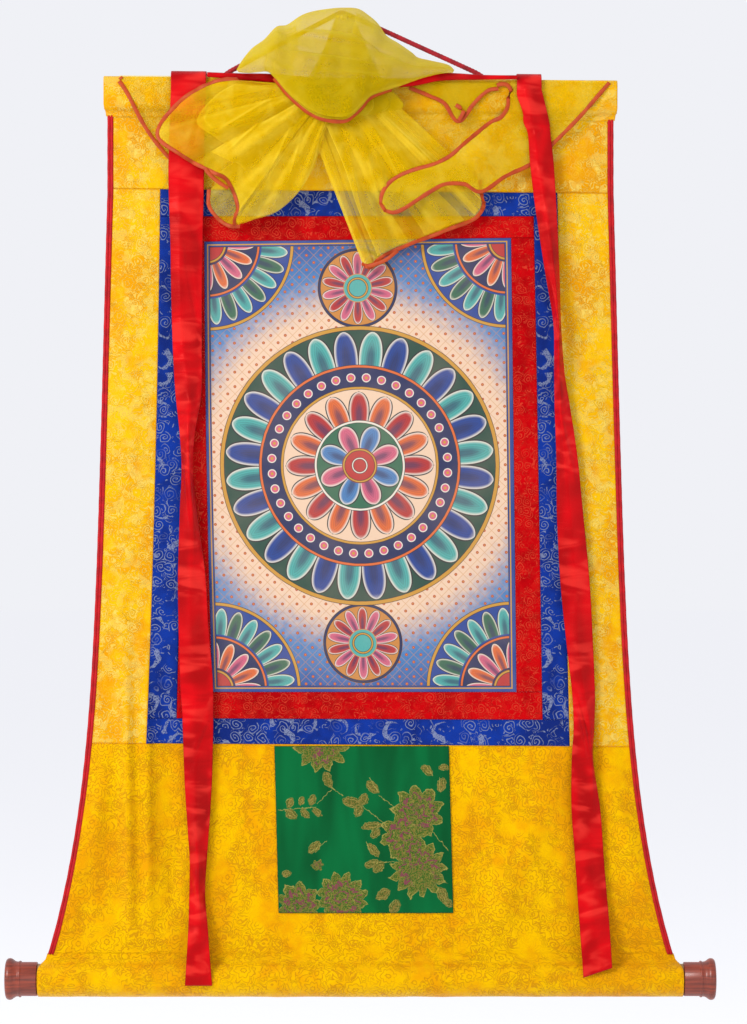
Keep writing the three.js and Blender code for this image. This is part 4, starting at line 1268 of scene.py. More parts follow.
# Foot
def foot(cloth):
    """The foot falls on the cloth's surface to its stitched line, then goes round the roll as one circle.

    The circle runs from the angle where the fall touches it right round to the same angle behind.
    """
    radius = ROD + ROLL_EASE + CLOTH / 2
    lead = math.acos(radius / (FOOT_SEAM_Z - ROLL_Z))
    fall = np.linspace(BORDER_BOTTOM_Z - SEAM, TRIM_BOTTOM_Z + 0.6, 76)
    turn = np.linspace(lead, 2 * np.pi - lead, 64)
    round_half = ROD_HALF - 0.5 - 7 * np.maximum(0, np.cos(turn)) ** 6
    bridge = [(ROLL_Y - 1, TRIM_BOTTOM_Z - 0.6, 391), (ROLL_Y - 0.6, FOOT_SEAM_Z + 1, 393.5)]
    rows = np.concatenate([
        bridge,
        np.stack([ROLL_Y - radius * np.sin(turn), ROLL_Z + radius * np.cos(turn), round_half], axis=1),
        [(ROLL_Y + CLOTH + GAP - 1, FOOT_SEAM_Z - 1, 394)],
    ])
    total = len(fall) + len(rows)

    def place(u, v):
        k = np.round(v * (total - 1)).astype(int)
        on_cloth = k < len(fall)
        side = 2 * u - 1
        s = rows[np.clip(k - len(fall), 0, len(rows) - 1)]
        free_z = fall[np.minimum(k, len(fall) - 1)]
        half = brocade_half(free_z)
        tilt = FOOT_SLOPE * ease((free_z - TRIM_BOTTOM_Z) / 150)
        fz = free_z + side * half * tilt
        fx = side * brocade_half(fz)
        x = np.where(on_cloth, fx, side * s[..., 2])
        z = np.where(on_cloth, fz, s[..., 1])
        lumps = (0.35 * mottle(x, s[..., 1], 34, 11) + 0.2 * mottle(x, s[..., 1], 13, 12)) * ~on_cloth
        away_y, away_z = s[..., 0] - ROLL_Y, s[..., 1] - ROLL_Z
        far = np.hypot(away_y, away_z) + 1e-6
        y = np.where(on_cloth, cloth_y(fx, fz), s[..., 0] + away_y / far * lumps)
        z = z + np.where(on_cloth, 0, away_z / far * lumps)
        return stack(x, y, z)

    down = np.linspace(0, 1, total)
    size = (2 * ROD_HALF, FOOT_LONG)
    return sheet("foot_cloth", place, steps(size[0], 4.0, RIM), down, size, CLOTH, cloth, gold_back()), size


PATCH = SimpleNamespace(left=-107.6, right=110.5, drift=5.5, top=-918.5, bottom=-1126.8, thick=1.2)


def green_patch(cloth):
    """The patch lies on the foot: a sheared rectangle on the cloth's surface, a little in front of it."""

    def place(u, v):
        z = mix(PATCH.top, PATCH.bottom, v)
        x = mix(PATCH.left, PATCH.right, u) + PATCH.drift * v
        lift = CLOTH / 2 + GAP + PATCH.thick / 2 + 0.1
        soft = 0.35 * mottle(x, z * 0.3, 26, 15) + 0.35
        return stack(x, cloth_y(x, z) - lift - soft, z)

    size = (PATCH.right - PATCH.left, PATCH.top - PATCH.bottom)
    across, down = (steps(length, 3, RIM) for length in size)
    return sheet("green_patch", place, across, down, size, PATCH.thick, cloth), size


# Edge trim
def twisted(strands, depth, pitch):
    """A rope's section: its radius swells `strands` times round, and turns once in `pitch`."""
    return lambda angle, run: 1 + depth * np.cos(strands * angle - 2 * np.pi * run / pitch * strands)


def trim(side, cloth):
    """Two fine twisted cords, side by side, down the cloth's side edge from the flap to the roll."""
    top = HEAD_FLAP_Z + 2
    z = np.linspace(top, TRIM_BOTTOM_Z - 1.5, 430) + HEAD_SLOPE * side * 310 * np.linspace(1, 0, 430)
    cords = []
    for k in (0.25, 0.75):
        x = side * (half_width(z) - TRIM_WIDE * (1 - k))
        y = cloth_y(x, z) - 0.2
        cords.append(tube(stack(x, y, z), TRIM_WIDE / 4 + 0.3, 12, twisted(2, 0.05, 5.5)))
    points, faces, uv = join(cords)
    name = "trim_left_cords" if side < 0 else "trim_right_cords"
    return make_piece(name, points, faces, cloth, uv)


# Ribbons
RIBBON_OFF = BATTEN_EASE + CLOTH + 1.2 + SATIN / 2 + 4.5
RIBBON_OUT = BATTEN_DEEP / 2 + RIBBON_OFF - BATTEN_Y
ROLL_FRONT = ROD + ROLL_EASE + CLOTH
RIBBON_LEFT = Rows("z left right curl ridge", [
    (-100, -236.5, -192.3, 0, 0.5),
    (-160, -238.5, -194, 0.5, 0.4),
    (-212, -239.5, -195, 2, 0.32),
    (-286, -237, -196.5, 5, 0.3),
    (-350, -236, -197.4, 7, 0.3),
    (-420, -234, -197.6, 6, 0.36),
    (-480, -230.5, -198.5, 9, 0.55),
    (-530, -225, -207, 12, 0.6),
    (-575, -222.7, -209, 14, 0.7),
    (-624, -225, -204.5, 12, 0.75),
    (-702, -227.4, -193.5, 7, 0.5),
    (-762, -227, -189.8, 6, 0.4),
    (-838, -225, -184, 3, 0.5),
    (-884, -222, -183.4, 4, 0.45),
    (-960, -219.4, -185, 6, 0.4),
    (-1020, -215.5, -188.6, 9, 0.4),
    (-1060, -212.8, -191.6, 11, 0.5),
    (-1102, -213.2, -193.7, 10, 0.6),
    (-1149, -214.4, -189.5, 5, 0.6),
    (-1215, -218, -184, 0, 0.5),
])
RIBBON_RIGHT = Rows("z left right curl ridge", [
    (-100, 208, 226, 9, 0.35),
    (-136, 202.8, 234.8, 7, 0.3),
    (-156, 208.8, 237.2, 7, 0.3),
    (-196, 211.8, 241.4, 6, 0.35),
    (-256, 219.3, 244.8, 8, 0.5),
    (-331, 231, 248, 11, 0.6),
    (-391, 241, 249.6, 13, 0.6),
    (-451, 241.8, 254, 12, 0.4),
    (-496, 242.3, 261.4, 10, 0.35),
    (-556, 244.2, 270.4, 8, 0.4),
    (-631, 245, 278, 6, 0.5),
    (-716, 249.4, 286, 4, 0.5),
    (-791, 257, 290, 6, 0.4),
    (-851, 263.8, 292.3, 8, 0.5),
    (-896, 265.7, 291.4, 9, 0.72),
    (-936, 263.4, 290, 8, 0.93),
    (-996, 263, 299, 3, 0.7),
    (-1056, 267.4, 303.4, 3, 0.5),
    (-1131, 272, 309, 2, 0.5),
    (-1205, 277, 313, 0, 0.5),
])
LEFT_CREASES = [  # share across, z, share across, z, wide, rise
    (5, -240, 36, -300, 5, 1.6),
    (20, -290, 38, -400, 4, -2.0),
    (4, -416, 38, -424, 3, 1.8),
    (8, -430, 40, -420, 3, -1.6),
    (10, -470, 36, -500, 5, 1.2),
    (14, -560, 26, -650, 4, 2.0),
    (4, -700, 40, -730, 7, 1.0),
    (40, -740, 6, -790, 6, 1.2),
    (6, -800, 38, -830, 6, -1.0),
    (42, -872, 6, -950, 3.4, 2.6),
    (38, -884, 2, -962, 3.4, -2.4),
    (8, -980, 36, -1010, 6, 1.0),
    (6, -1070, 34, -1120, 5, 1.6),
    (8, -1150, 38, -1160, 6, 1.2),
    (4, -1185, 40, -1200, 6, 1.0),
]
RIGHT_CREASES = [  # as LEFT_CREASES
    (4, -160, 30, -150, 4, 1.6),
    (8, -200, 40, -206, 4, 1.4),
    (6, -262, 36, -240, 5, 1.2),
    (10, -330, 34, -420, 4, 2.0),
    (6, -480, 38, -600, 5, 1.4),
    (6, -560, 40, -556, 5, 1.2),
    (4, -684, 40, -694, 6, 1.4),
    (4, -742, 40, -738, 6, -1.4),
    (4, -790, 34, -820, 7, 1.0),
    (2, -850, 40, -940, 3.6, 2.6),
    (6, -842, 44, -930, 3.6, -2.2),
    (6, -1010, 40, -1040, 6, 1.2),
    (6, -1094, 40, -1110, 6, -1.2),
    (6, -1130, 40, -1120, 6, 1.4),
    (8, -1180, 36, -1172, 6, 1.2),
]
RIBBON_FLAT = 44.0


def ribbon_out(x, z):
    """Plumb from the sleeve and clear of the cloth, then eased out over the roll."""
    resting = np.maximum(RIBBON_OUT, 2 + CLOTH / 2 + SATIN / 2 - cloth_y(x, z))
    on_roll = ROLL_FRONT - ROLL_Y + SATIN / 2 + 1.5
    return mix(resting, on_roll, ease((-1085 - z) / 115))


def peak(u, ridge):
    """A tent from 0 at both edges to 1 at the ridge, with its top rounded as a hyperbola."""
    left, right = u / ridge, (1 - u) / (1 - ridge)
    tent = np.clip(np.minimum(left, right), 0, 1)
    return 1 - np.sqrt((1 - tent) ** 2 + 0.012)


def ribbon(name, table, folds, slant, gather, seed, cloth):
    """A satin ribbon: over the sleeve on the batten's path, then down its table as a tent of height `curl`.

    Its end slants by `slant`, and it is `gather` wider on the left where it lies over the sleeve.
    """
    back_y = BATTEN_Y + BATTEN_DEEP / 2 + BATTEN_EASE + CLOTH + SATIN
    over_y, over_z = over_batten(RIBBON_OFF, 6)
    over = [(back_y, -150.0), (back_y, BATTEN_Z + 12)] + list(zip(over_y[2:], over_z[2:]))
    over, over_length = resample(over, 3.0)
    fall = np.linspace(0, 1, 380)
    head = table.at(0.0)

    def place(u, v):
        k = np.round(v * (len(over) + len(fall) - 1)).astype(int)
        hanging = k >= len(over)
        top = over[np.minimum(k, len(over) - 1)]
        t = fall[np.clip(k - len(over), 0, len(fall) - 1)]
        r = table.at(t)
        spread = gather * (1 - u) * np.where(hanging, 1 - ease((head.z - r.z) / 34), 1)
        x = np.where(hanging, mix(r.left, r.right, u), mix(head.left, head.right, u)) - spread
        z_fall = r.z + slant * u * ease((t - 0.9) / 0.1)
        fine = creases(u * RIBBON_FLAT, z_fall, folds) * np.sin(np.pi * u) ** 0.4
        fine = fine + 0.5 * mottle(u * 30, z_fall, 16, seed) * np.sin(np.pi * u) ** 0.5
        out = ribbon_out(x, z_fall) + r.curl * peak(u, r.ridge) + np.maximum(fine, -1.2) * ease(t / 0.03)
        y = np.where(hanging, -out, top[..., 0])
        z = np.where(hanging, z_fall, top[..., 1] + HEAD_SLOPE * x)
        return stack(x, y, z)

    length = over_length + float(table.values[0][0] - table.values[-1][0])
    down = np.linspace(0, 1, len(over) + len(fall))
    size = (RIBBON_FLAT, length)
    return sheet(name, place, steps(RIBBON_FLAT, 1.6, RIM), down, size, SATIN, cloth, edge=1.0), length


BAND = Rows("x z wide", [
    (-191, -81, 6),
    (-150, -83.5, 8),
    (-105, -86, 11),
    (-25, -93, 12),
    (60, -91, 10),
    (99, -84, 10),
    (154, -84.5, 6),
    (196, -84.5, 5),
])
BAND_OUT = RIBBON_OUT + 1.5


def satin_band(cloth):
    """The band across the sleeve's top: its width from a table, folded lengthwise by a half sine."""

    def place(u, v):
        r = BAND.at(u)
        fold = 1.0 * np.sin(np.pi * v) + 0.3 * mottle(r.x, v * 20, 9, 41)
        return stack(r.x, -BAND_OUT - fold + 0.5, r.z + r.wide * (0.5 - v))

    wide = 387.0
    return sheet("red_band", place, steps(wide, 3), np.linspace(0, 1, 9), (wide, 9), 1.2, cloth, edge=0.8)


# Veil. Each leaf is a fan of rays from its gathered root to its hem
SILK = 1.2
BACK_OFF = BATTEN_EASE + CLOTH + 0.5 + SILK / 2
BACK_OUT = BATTEN_DEEP / 2 + BACK_OFF - BATTEN_Y
VEIL_BACK = Rows("x hem out", [
    (-301.5, -84.5, 0),
    (-290, -101, 0),
    (-269, -141, 0),
    (-250, -168, 0),
    (-225, -195, -0.4),
    (-197, -218, -0.6),
    (-150, -221, -0.6),
    (-95, -208, -0.4),
    (-57, -190, 0),
    (0, -192, 0),
    (60, -190, 0),
    (112, -176, 0),
    (150, -148, 0),
    (180, -122, 0),
    (203, -104, 0),
])
VEIL_LEFT = Rows("x z out belly", [
    (-108, -95.5, 36, 1),
    (-165, -89.5, 37, 3),
    (-207, -105, 37, 5),
    (-241, -136, 37, 8),
    (-250, -159, 36, 10),
    (-223, -180, 39, 10),
    (-204, -191, 37, 10),
    (-181, -203, 41, 10),
    (-163, -214, 37, 10),
    (-151, -245, 39, 9),
    (-154, -267, 36, 8),
    (-128, -261, 38, 8),
    (-106, -254, 34, 8),
    (-78, -230, 37, 7),
    (-57, -197, 38, 5),
])
VEIL_UNDER = Rows("x z out belly", [
    (-187, -224, 27, 4),
    (-187, -243, 27, 5),
    (-178, -257, 28, 6),
    (-164, -267, 27, 6),
    (-150, -268, 27, 6),
])
VEIL_RIGHT = Rows("x z out belly", [
    (2, -315, 27, 5),
    (12, -319, 29, 6),
    (21, -310, 27, 7),
    (38, -300, 25, 8),
    (62, -290, 28, 8),
    (88, -280, 25, 8),
    (112, -271, 28, 8),
    (137, -261, 26, 7),
    (148, -252, 27, 6),
    (152, -241, 28, 5),
    (149, -231, 29, 4),
    (147, -212, 30, 3),
])
VEIL_SWAG = Rows("inX inZ outX outZ out", [
    (189, -86, 309, -89, 23),
    (186, -99, 291, -110, 24.6),
    (186, -120, 270, -134, 25.6),
    (177, -135, 240, -164, 25),
    (163, -142, 212, -190, 25),
    (146, -156, 180, -206, 31),
    (129, -171, 150, -226, 41),
    (112, -186, 130, -217, 44),
    (92, -196, 105, -217, 46),
    (71, -202, 87, -226, 46),
    (52, -209, 71, -236, 45),
    (37, -219, 54, -247, 44),
    (29, -231, 42, -252, 43),
    (27, -242, 32, -250, 42),
])
VEIL_CORNER = Rows("x hem out", [
    (62, -95, 25.4),
    (84, -104, 25.6),
    (106, -115, 26),
    (122, -137, 27),
    (138, -118, 26.5),
    (149, -106, 26),
    (160, -98, 25.6),
    (172, -96, 25.4),
])
VEIL_PUFF = Rows("x z out hemX hemZ hemOut", [
    (-154, -76.5, 41, -151, -80, 43),
    (-147, -62.5, 30, -138, -81, 43),
    (-135.5, -47, 20, -126, -80, 43.5),
    (-120.5, -35, 14, -115, -80, 44),
    (-105.5, -19, 11, -106, -88, 46),
    (-92, -16, 9, -91, -106, 48),
    (-75.5, -4.5, 5.5, -75, -121, 50),
    (-60, 2, 0, -60, -132, 51),
    (-37, 6, -2.5, -45, -138, 52),
    (-20, 7, -2.5, -29, -140, 52),
    (-3, 5.5, -1.5, -17, -139, 52),
    (10.5, -3.5, 3, -7, -132, 51),
    (22, -14.5, 8, 2, -123, 52),
    (33, -30, 9, 13, -111, 51),
    (47, -39, 10, 30, -104, 48),
    (64, -51, 12, 47, -98, 42),
    (72, -58, 16, 62, -92, 39),
    (87, -62, 19, 79, -86, 37),
    (109, -68, 25, 99, -81, 36),
    (117, -76, 33, 115, -79.5, 35),
])
PUFF_SWELL = 26.0
VEIL_BUNDLE = Rows("z out wide deep", [
    (-6, 15, 9, 4),
    (-28, 20, 17, 8),
    (-62, 34, 30, 7),
    (-94, 38.5, 46, 6),
    (-121, 36.5, 62, 9),
    (-136, 30, 40, 7.3),
])
BUNDLE_X = -20.0

PLEATS = {  # ray, wide, rise
    "left": [
        (0.05, 0.03, 2.5), (0.16, 0.035, 4), (0.25, 0.02, -2.5), (0.34, 0.035, 5), (0.42, 0.02, -3),
        (0.52, 0.04, 5.5), (0.60, 0.02, -3), (0.68, 0.03, 4), (0.77, 0.025, -3),
        (0.84, 0.035, 5), (0.94, 0.03, 2.5),
    ],
    "right": [
        (0.05, 0.03, 3), (0.14, 0.022, -3), (0.22, 0.035, 5), (0.31, 0.02, -3), (0.39, 0.03, 5),
        (0.47, 0.02, -3),
        (0.56, 0.04, 5), (0.66, 0.022, -3), (0.74, 0.03, 4), (0.83, 0.022, -2.5), (0.91, 0.03, 3.5),
    ],
    "under": [(0.2, 0.08, 1.5), (0.55, 0.07, -1.5), (0.8, 0.08, 1.5)],
    "puff": [
        (0.16, 0.03, 3), (0.27, 0.03, -2.5), (0.36, 0.04, 3), (0.47, 0.03, -2), (0.56, 0.04, 3),
        (0.66, 0.03, -2.5), (0.75, 0.035, 3), (0.87, 0.03, 2),
    ],
}
PUFF_CREASES = [  # from_x, from_z, to_x, to_z, wide, rise
    (-106, -20, -20, -36, 6, 3.0),
    (-96, -30, 62, -62, 6, -2.6),
    (-60, -8, 40, -40, 7, 2.4),
    (-110, -50, 10, -84, 8, 2.6),
    (-70, -70, 60, -84, 7, -2.2),
    (-96, -86, -40, -120, 6, 2.0),
    (-30, -20, -46, -110, 9, 1.6),
    (4, -10, -8, -110, 8, -1.8),
    (-102, -24, -4, -42, 2.6, 2.0),
    (-10, -40, 68, -62, 2.6, 2.0),
    (-148, -70, -62, -82, 3, 2.0),
    (-70, -80, 40, -88, 2.6, 1.8),
    (-100, -40, -40, -60, 2.2, 1.4),
    (-84, -100, -20, -96, 2.4, 1.5),
    (-60, -96, -34, -132, 2.4, 1.6),
    (-10, -92, 2, -126, 2.4, 1.4),
    (-126, -56, -96, -76, 2.2, 1.2),
    (10, -50, 30, -96, 2.4, -1.3),
]
LEAF_CREASES = [  # as PUFF_CREASES
    (-70, -140, -196, -150, 5, 1.6),
    (-60, -150, -150, -226, 5, 1.8),
    (-156, -214, -92, -224, 3, 1.4),
    (20, -130, 96, -196, 5, 2.0),
    (8, -140, 44, -262, 5, 2.2),
    (30, -124, 140, -150, 6, 1.6),
    (-10, -170, 22, -300, 5, -1.6),
    (-96, -104, -186, -160, 2.0, 1.3),
    (-90, -110, -170, -184, 2.0, 1.3),
    (-74, -120, -120, -226, 2.0, 1.2),
    (-64, -124, -88, -214, 2.0, 1.2),
    (-110, -100, -226, -128, 2.0, 1.1),
    (-200, -120, -216, -176, 2.4, 1.6),
    (8, -130, 60, -230, 2.0, 1.3),
    (0, -140, 24, -240, 2.0, 1.2),
    (20, -124, 112, -214, 2.0, 1.2),
    (-20, -150, 4, -260, 2.0, 1.3),
]


def pleat_rise(u, v, pleats):
    """Pleats that start flat at the gathered root and deepen towards the hem: bells across the rays."""
    height = np.zeros(u.shape)
    for ray, wide, rise in pleats:
        height += rise * bell(u - ray, wide)
    return height * v**0.6


def fan(table, root_x, root_z, root_out, pleats, clear=0.0):
    """A leaf: straight rays from its root to its hem with a parabolic belly, pleats and a little crumple."""

    def place(u, v):
        r = table.at(u)
        x, z = mix(mix(*root_x, u), r.x, v), mix(mix(*root_z, u), r.z, v)
        out = mix(root_out, r.out, v) + r.belly * 4 * v * (1 - v)
        crumple = 0.7 * mottle(x, z, 17, 51) + 0.45 * mottle(x, z, 8, 52) + creases(x, z, LEAF_CREASES)
        out = out + pleat_rise(u, v, pleats) + crumple * ease(v * 3)
        return stack(x, -np.maximum(out, clear), z)

    return place


def back_leaf(u, v):
    """The flat back layer: over the sleeve's top, then straight down to a hem that slants from the corner."""
    over_y, over_z = over_batten(BACK_OFF, 8)
    over_y, over_z = over_y[-9:], over_z[-9:]
    r = VEIL_BACK.at(u)
    turn = np.clip(v / 0.15, 0, 1) * 8
    y = np.interp(turn, np.arange(9), over_y)
    z = np.interp(turn, np.arange(9), over_z) + HEAD_SLOPE * r.x
    fall = np.clip((v - 0.15) / 0.85, 0, 1)
    top_z = over_z[-1] + HEAD_SLOPE * r.x
    soft = 0.4 * np.maximum(mottle(r.x, z, 20, 61), 0) * ease(fall * 4)
    y = np.where(v <= 0.15, y, -BACK_OUT - r.out * fall - soft)
    return stack(r.x, y, np.where(v <= 0.15, z, mix(top_z, r.hem, fall)))


def swag_leaf(u, v):
    """The swag that turns back over the right leaf: straight lines between its two edges."""
    r = VEIL_SWAG.at(v)
    x, z = mix(r.inX, r.outX, u), mix(r.inZ, r.outZ, u)
    belly = 2.2 * np.sin(np.pi * u) * ease((v - 0.3) / 0.2)
    belly = belly + 0.5 * mottle(x, z, 15, 71) * ease((v - 0.35) / 0.1)
    return stack(x, -r.out - belly, z)


def corner_leaf(u, v):
    """The small folded corner on the sleeve, straight from the sleeve's top to its hem."""
    r = VEIL_CORNER.at(u)
    return stack(r.x, -mix(23.3, r.out, v) - 0.5 * np.sin(np.pi * v), mix(-89, r.hem, v))


def puff_leaf(u, v):
    """The puff: from its upper outline to its hem, swollen by two half sines, with its own folds."""
    r = VEIL_PUFF.at(u)
    x, z = mix(r.x, r.hemX, v), mix(r.z, r.hemZ, v)
    swell = PUFF_SWELL * np.sin(np.pi * u) ** 0.8 * np.sin(np.pi * v) ** 0.7
    body = np.sin(np.pi * u) ** 0.5 * np.sin(np.pi * np.clip(v, 0, 1)) ** 0.5
    folds = creases(x, z, PUFF_CREASES) + pleat_rise(u, v, PLEATS["puff"])
    crumple = 1.2 * mottle(x, z, 22, 81) + 0.7 * mottle(x, z, 10, 82)
    return stack(x, -mix(r.out, r.hemOut, v**0.8) - swell - (folds + crumple) * body, z)


def puff_lining(u, v):
    """The puff's inner layer, to 0.97 of its depth: the same outline, a third of the swell, and its own folds."""
    v = v * 0.97
    r = VEIL_PUFF.at(u)
    x, z = mix(r.x, r.hemX, v), mix(r.z, r.hemZ, v)
    swell = 0.3 * PUFF_SWELL * np.sin(np.pi * u) ** 0.8 * np.sin(np.pi * np.clip(v, 0, 1)) ** 0.7
    folds = 2.6 * np.sin(u * 23 + 1.4 * v) * np.sin(np.pi * u) + 1.5 * mottle(x, z, 15, 85)
    body = np.sin(np.pi * u) ** 0.5 * np.sin(np.pi * np.clip(v, 0, 1)) ** 0.5
    return stack(x, 1.5 - mix(r.out, r.hemOut, v**0.8) - swell - folds * body, z)


def bundle_wall(u, v):
    """The gathered bundle: an oval section that grows downwards, crumpled round its wall."""
    r = VEIL_BUNDLE.at(v)
    a = 2 * np.pi * u
    crumple = 1 + 0.12 * np.sin(5 * a + 2 * v) + 0.08 * np.sin(11 * a - 5 * v)
    return stack(BUNDLE_X + r.wide * np.cos(a) * crumple, -r.out - r.deep * np.sin(a) * crumple, r.z)


LEAVES = {  # place, columns, rows, cover as a share of a plain layer's
    "back": (back_leaf, 150, 44, 0.45),
    "left": (fan(VEIL_LEFT, (-80, -36), (-93, -127), 36, PLEATS["left"], 33), 200, 50, 1.0),
    "under": (fan(VEIL_UNDER, (-78, -55), (-110, -120), 31, PLEATS["under"], 26.5), 60, 50, 1.0),
    "right": (fan(VEIL_RIGHT, (-72, 38), (-126, -112), 34, PLEATS["right"], 25.5), 180, 64, 1.0),
    "swag": (swag_leaf, 18, 170, 1.0),
    "corner": (corner_leaf, 60, 12, 1.2),
    "puff": (puff_leaf, 200, 76, 1.1),
    "lining": (puff_lining, 150, 50, 1.1),
    "bundle": (bundle_wall, 90, 44, 1.2),
}
TUCKS = [  # leaf, from ray, to ray, first row at each of these rays, last row, lift
    ("left", 0.10, 0.52, 0.02, 0.02, 0.74, 1.2),
    ("left", 0.20, 0.36, 0.10, 0.03, 0.70, 1.8),
    ("left", 0.42, 0.60, 0.03, 0.03, 0.86, 2.4),
    ("left", 0.52, 0.67, 0.05, 0.05, 0.99, 1.4),
    ("left", 0.70, 0.97, 0.05, 0.05, 0.99, 1.8),
    ("right", 0.0, 0.12, 0.02, 0.02, 0.99, 1.2),
    ("right", 0.19, 0.36, 0.02, 0.02, 0.99, 1.8),
    ("right", 0.30, 0.72, 0.02, 0.02, 0.62, 1.2),
    ("right", 0.43, 0.61, 0.02, 0.02, 0.99, 2.0),
    ("right", 0.68, 0.88, 0.02, 0.02, 0.99, 1.5),
    ("puff", 0.0, 0.30, 0.02, 0.10, 0.98, 1.2),
    ("puff", 0.14, 0.96, 0.12, 0.42, 0.98, 4.0),
    ("puff", 0.52, 1.0, 0.05, 0.10, 0.98, 1.2),
    ("puff", 0.20, 0.74, 0.40, 0.52, 0.98, 6.0),
]


def tuck(place, first, last, start, start_last, end, lift):
    """A pleat laid over its own leaf: the same surface between two rays and two rows, lifted.

    The lift is a half sine from ray to ray to the power 0.35, eased in over a thirty-sixth of the rows.
    """

    def laid(u, v):
        wander = 0.014 * np.sin(7 * v + 30 * first) * np.sin(np.pi * v)
        ray = np.clip(mix(first, last, u) + wander, 0, 1)
        points = place(ray, mix(mix(start, start_last, u), end, v) + 0.6 * wander)
        rolled = np.sin(np.pi * u) ** 0.35 * ease(v * 36) * (ease((1 - v) * 36) if end < 0.9 else 1)
        return points - (0.6 + lift * rolled)[..., None] * [0, 1, 0]

    return laid


def veil(cloth, cover):
    """All the leaves of the veil and their pleats in one mesh, each an open layer of sheer cloth."""
    layers = list(LEAVES.values())
    layers += [(tuck(LEAVES[leaf][0], *rays), 56, 40, LEAVES[leaf][3]) for leaf, *rays in TUCKS]
    parts = []
    covers = []
    for place, columns, rows, share in layers:
        u, v = np.meshgrid(np.linspace(0, 1, columns), np.linspace(0, 1, rows))
        points = place(u, v)
        parts.append((points, [grid_faces(rows, columns)], points[..., [0, 2]] * MM))
        covers.append(np.full(columns * rows, cover * share))
    points, faces, uv = join(parts)
    return make_piece("veil_silk", points, faces, cloth, uv, cover=np.concatenate(covers))


BINDINGS = [  # node, leaf, first and last share of the hem
    ("binding_side", "back", 0.0, 7 / 24),
    ("binding_left", "left", 0.0, 20 / 28),
    ("binding_under", "under", 0.0, 1.0),
    ("binding_lower", "right", 0.0, 1.0),
    ("binding_corner", "corner", 0.0, 1.0),
    ("binding_puff", "puff", 7 / 34, 26 / 34),
]
SWAG_START = 3 / 26


def hem_lines(leaf, first, last, count):
    place = LEAVES[leaf][0]
    u = np.linspace(first, last, count)
    return place(u, np.ones(count)), place(u, np.full(count, 0.9))


SWAG_TOP = [  # x, z: the edge turns over from the corner to the swag
    (171, -96),
    (175, -94.8),
    (180, -94.6),
    (184, -97),
    (186.5, -102),
]
TURNS = [  # node, then x, z and out for each point of a short strip where the hem doubles
    ("binding_left", (-191, -199, 43), (-183, -208, 43.5), (-173, -216, 43.5), (-163, -222, 43)),
    ("binding_lower", (8, -318, 31), (20, -315, 33), (33, -309, 33.5), (45, -299, 32)),
    ("binding_corner", (120, -117, 28), (125.5, -121, 29), (126, -128, 29), (121, -137, 28)),
]


def swag_lines(count):
    """The swag's edge as one line: from the corner, down its inner side, round its tip and up its outer."""
    half = count // 2
    down = np.linspace(SWAG_START, 1, half)
    up = np.linspace(1, 0, half)
    tip = np.linspace(0, 1, 9)[1:-1]
    u = np.concatenate([np.zeros(half), tip, np.ones(half)])
    v = np.concatenate([down, np.ones(len(tip)), up])
    edge, inner = swag_leaf(u, v), swag_leaf(np.full(len(u), 0.5), v - 0.02)
    top = Rows("x z", SWAG_TOP).at(np.linspace(0, 1, 14)[:-1])
    over = stack(top.x, edge[0, 1] + 0 * top.x, top.z)
    middle = stack(176.0 + 0 * top.x, edge[0, 1], -108.0)
    return np.concatenate([over, edge]), np.concatenate([middle, inner])


def turn_lines(points):
    """A short strip through a few points, whose inner side lies above it."""
    at = Rows("x z out", points).at(np.linspace(0, 1, 24))
    edge = stack(at.x, -at.out, at.z)
    return edge, edge + [0, 0, 5]


def binding(name, edge, inner, wide, cloth):
    """A folded bias strip along an edge: a flat oval section, just past the edge and in the leaf's slope."""
    along = unit(np.gradient(edge, axis=0))
    away = edge - inner
    away = unit(away - (away * along).sum(axis=1, keepdims=True) * along)
    face = np.cross(along, away)
    angle = np.linspace(0, 2 * np.pi, 12, endpoint=False)
    flat_x, flat_y = np.cos(angle), np.sin(angle)
    bulge = np.sign(flat_x) * np.abs(flat_x) ** 0.7
    run = run_along(edge)
    swell = 1 + 0.06 * np.sin(run / 7.0) + 0.04 * np.sin(run / 2.9)
    centre = edge + away * (wide * 0.42)
    section = (wide / 2 * swell)[:, None, None] * bulge[None, :, None] * away[:, None]
    section = section + 0.75 * flat_y[None, :, None] * face[:, None]
    rings = centre[:, None] + section
    index, _, walls = ring_faces(len(edge), len(angle))
    caps = np.stack([index[0][::-1], index[-1]])
    uv = stack(run[:, None], angle[None, :] * 1.6) * MM
    return make_piece(name, rings, [walls, caps], cloth, uv)


# Cord
CORD_ROUTE = [  # x, z
    (-178, -120),
    (-178, -104),
    (-177.6, -92),
    (-173.5, -81.5),
    (-165, -74.4),
    (-150, -66),
    (-120, -49.7),
    (-90, -33.8),
    (-60, -17.9),
    (-40, -7.4),
    (-30.5, -2.4),
    (-23.4, 0),
    (-16, -2.2),
    (-5, -7.1),
    (30, -22.6),
    (65, -38.6),
    (100, -54.5),
    (130, -68.2),
    (147, -76.4),
    (156, -83.5),
    (160, -93),
    (160.6, -106),
    (160.6, -120),
]


def hanging_cord(cloth, thick):
    """A three-strand cord on a smooth curve through its route's points."""
    route = Rows("x z", CORD_ROUTE).at(np.linspace(0, 1, 420))
    path = stack(route.x, 0 * route.x, route.z)
    points, faces, uv = tube(path, thick / 2, 15, twisted(3, 0.08, 13))
    piece = make_piece("cord", points, faces, cloth, uv)
    length = np.linalg.norm(np.diff(path, axis=0), axis=1).sum()
    return piece, (path[::8] + [CENTRE_X, 0, 0]) * MM, length * MM


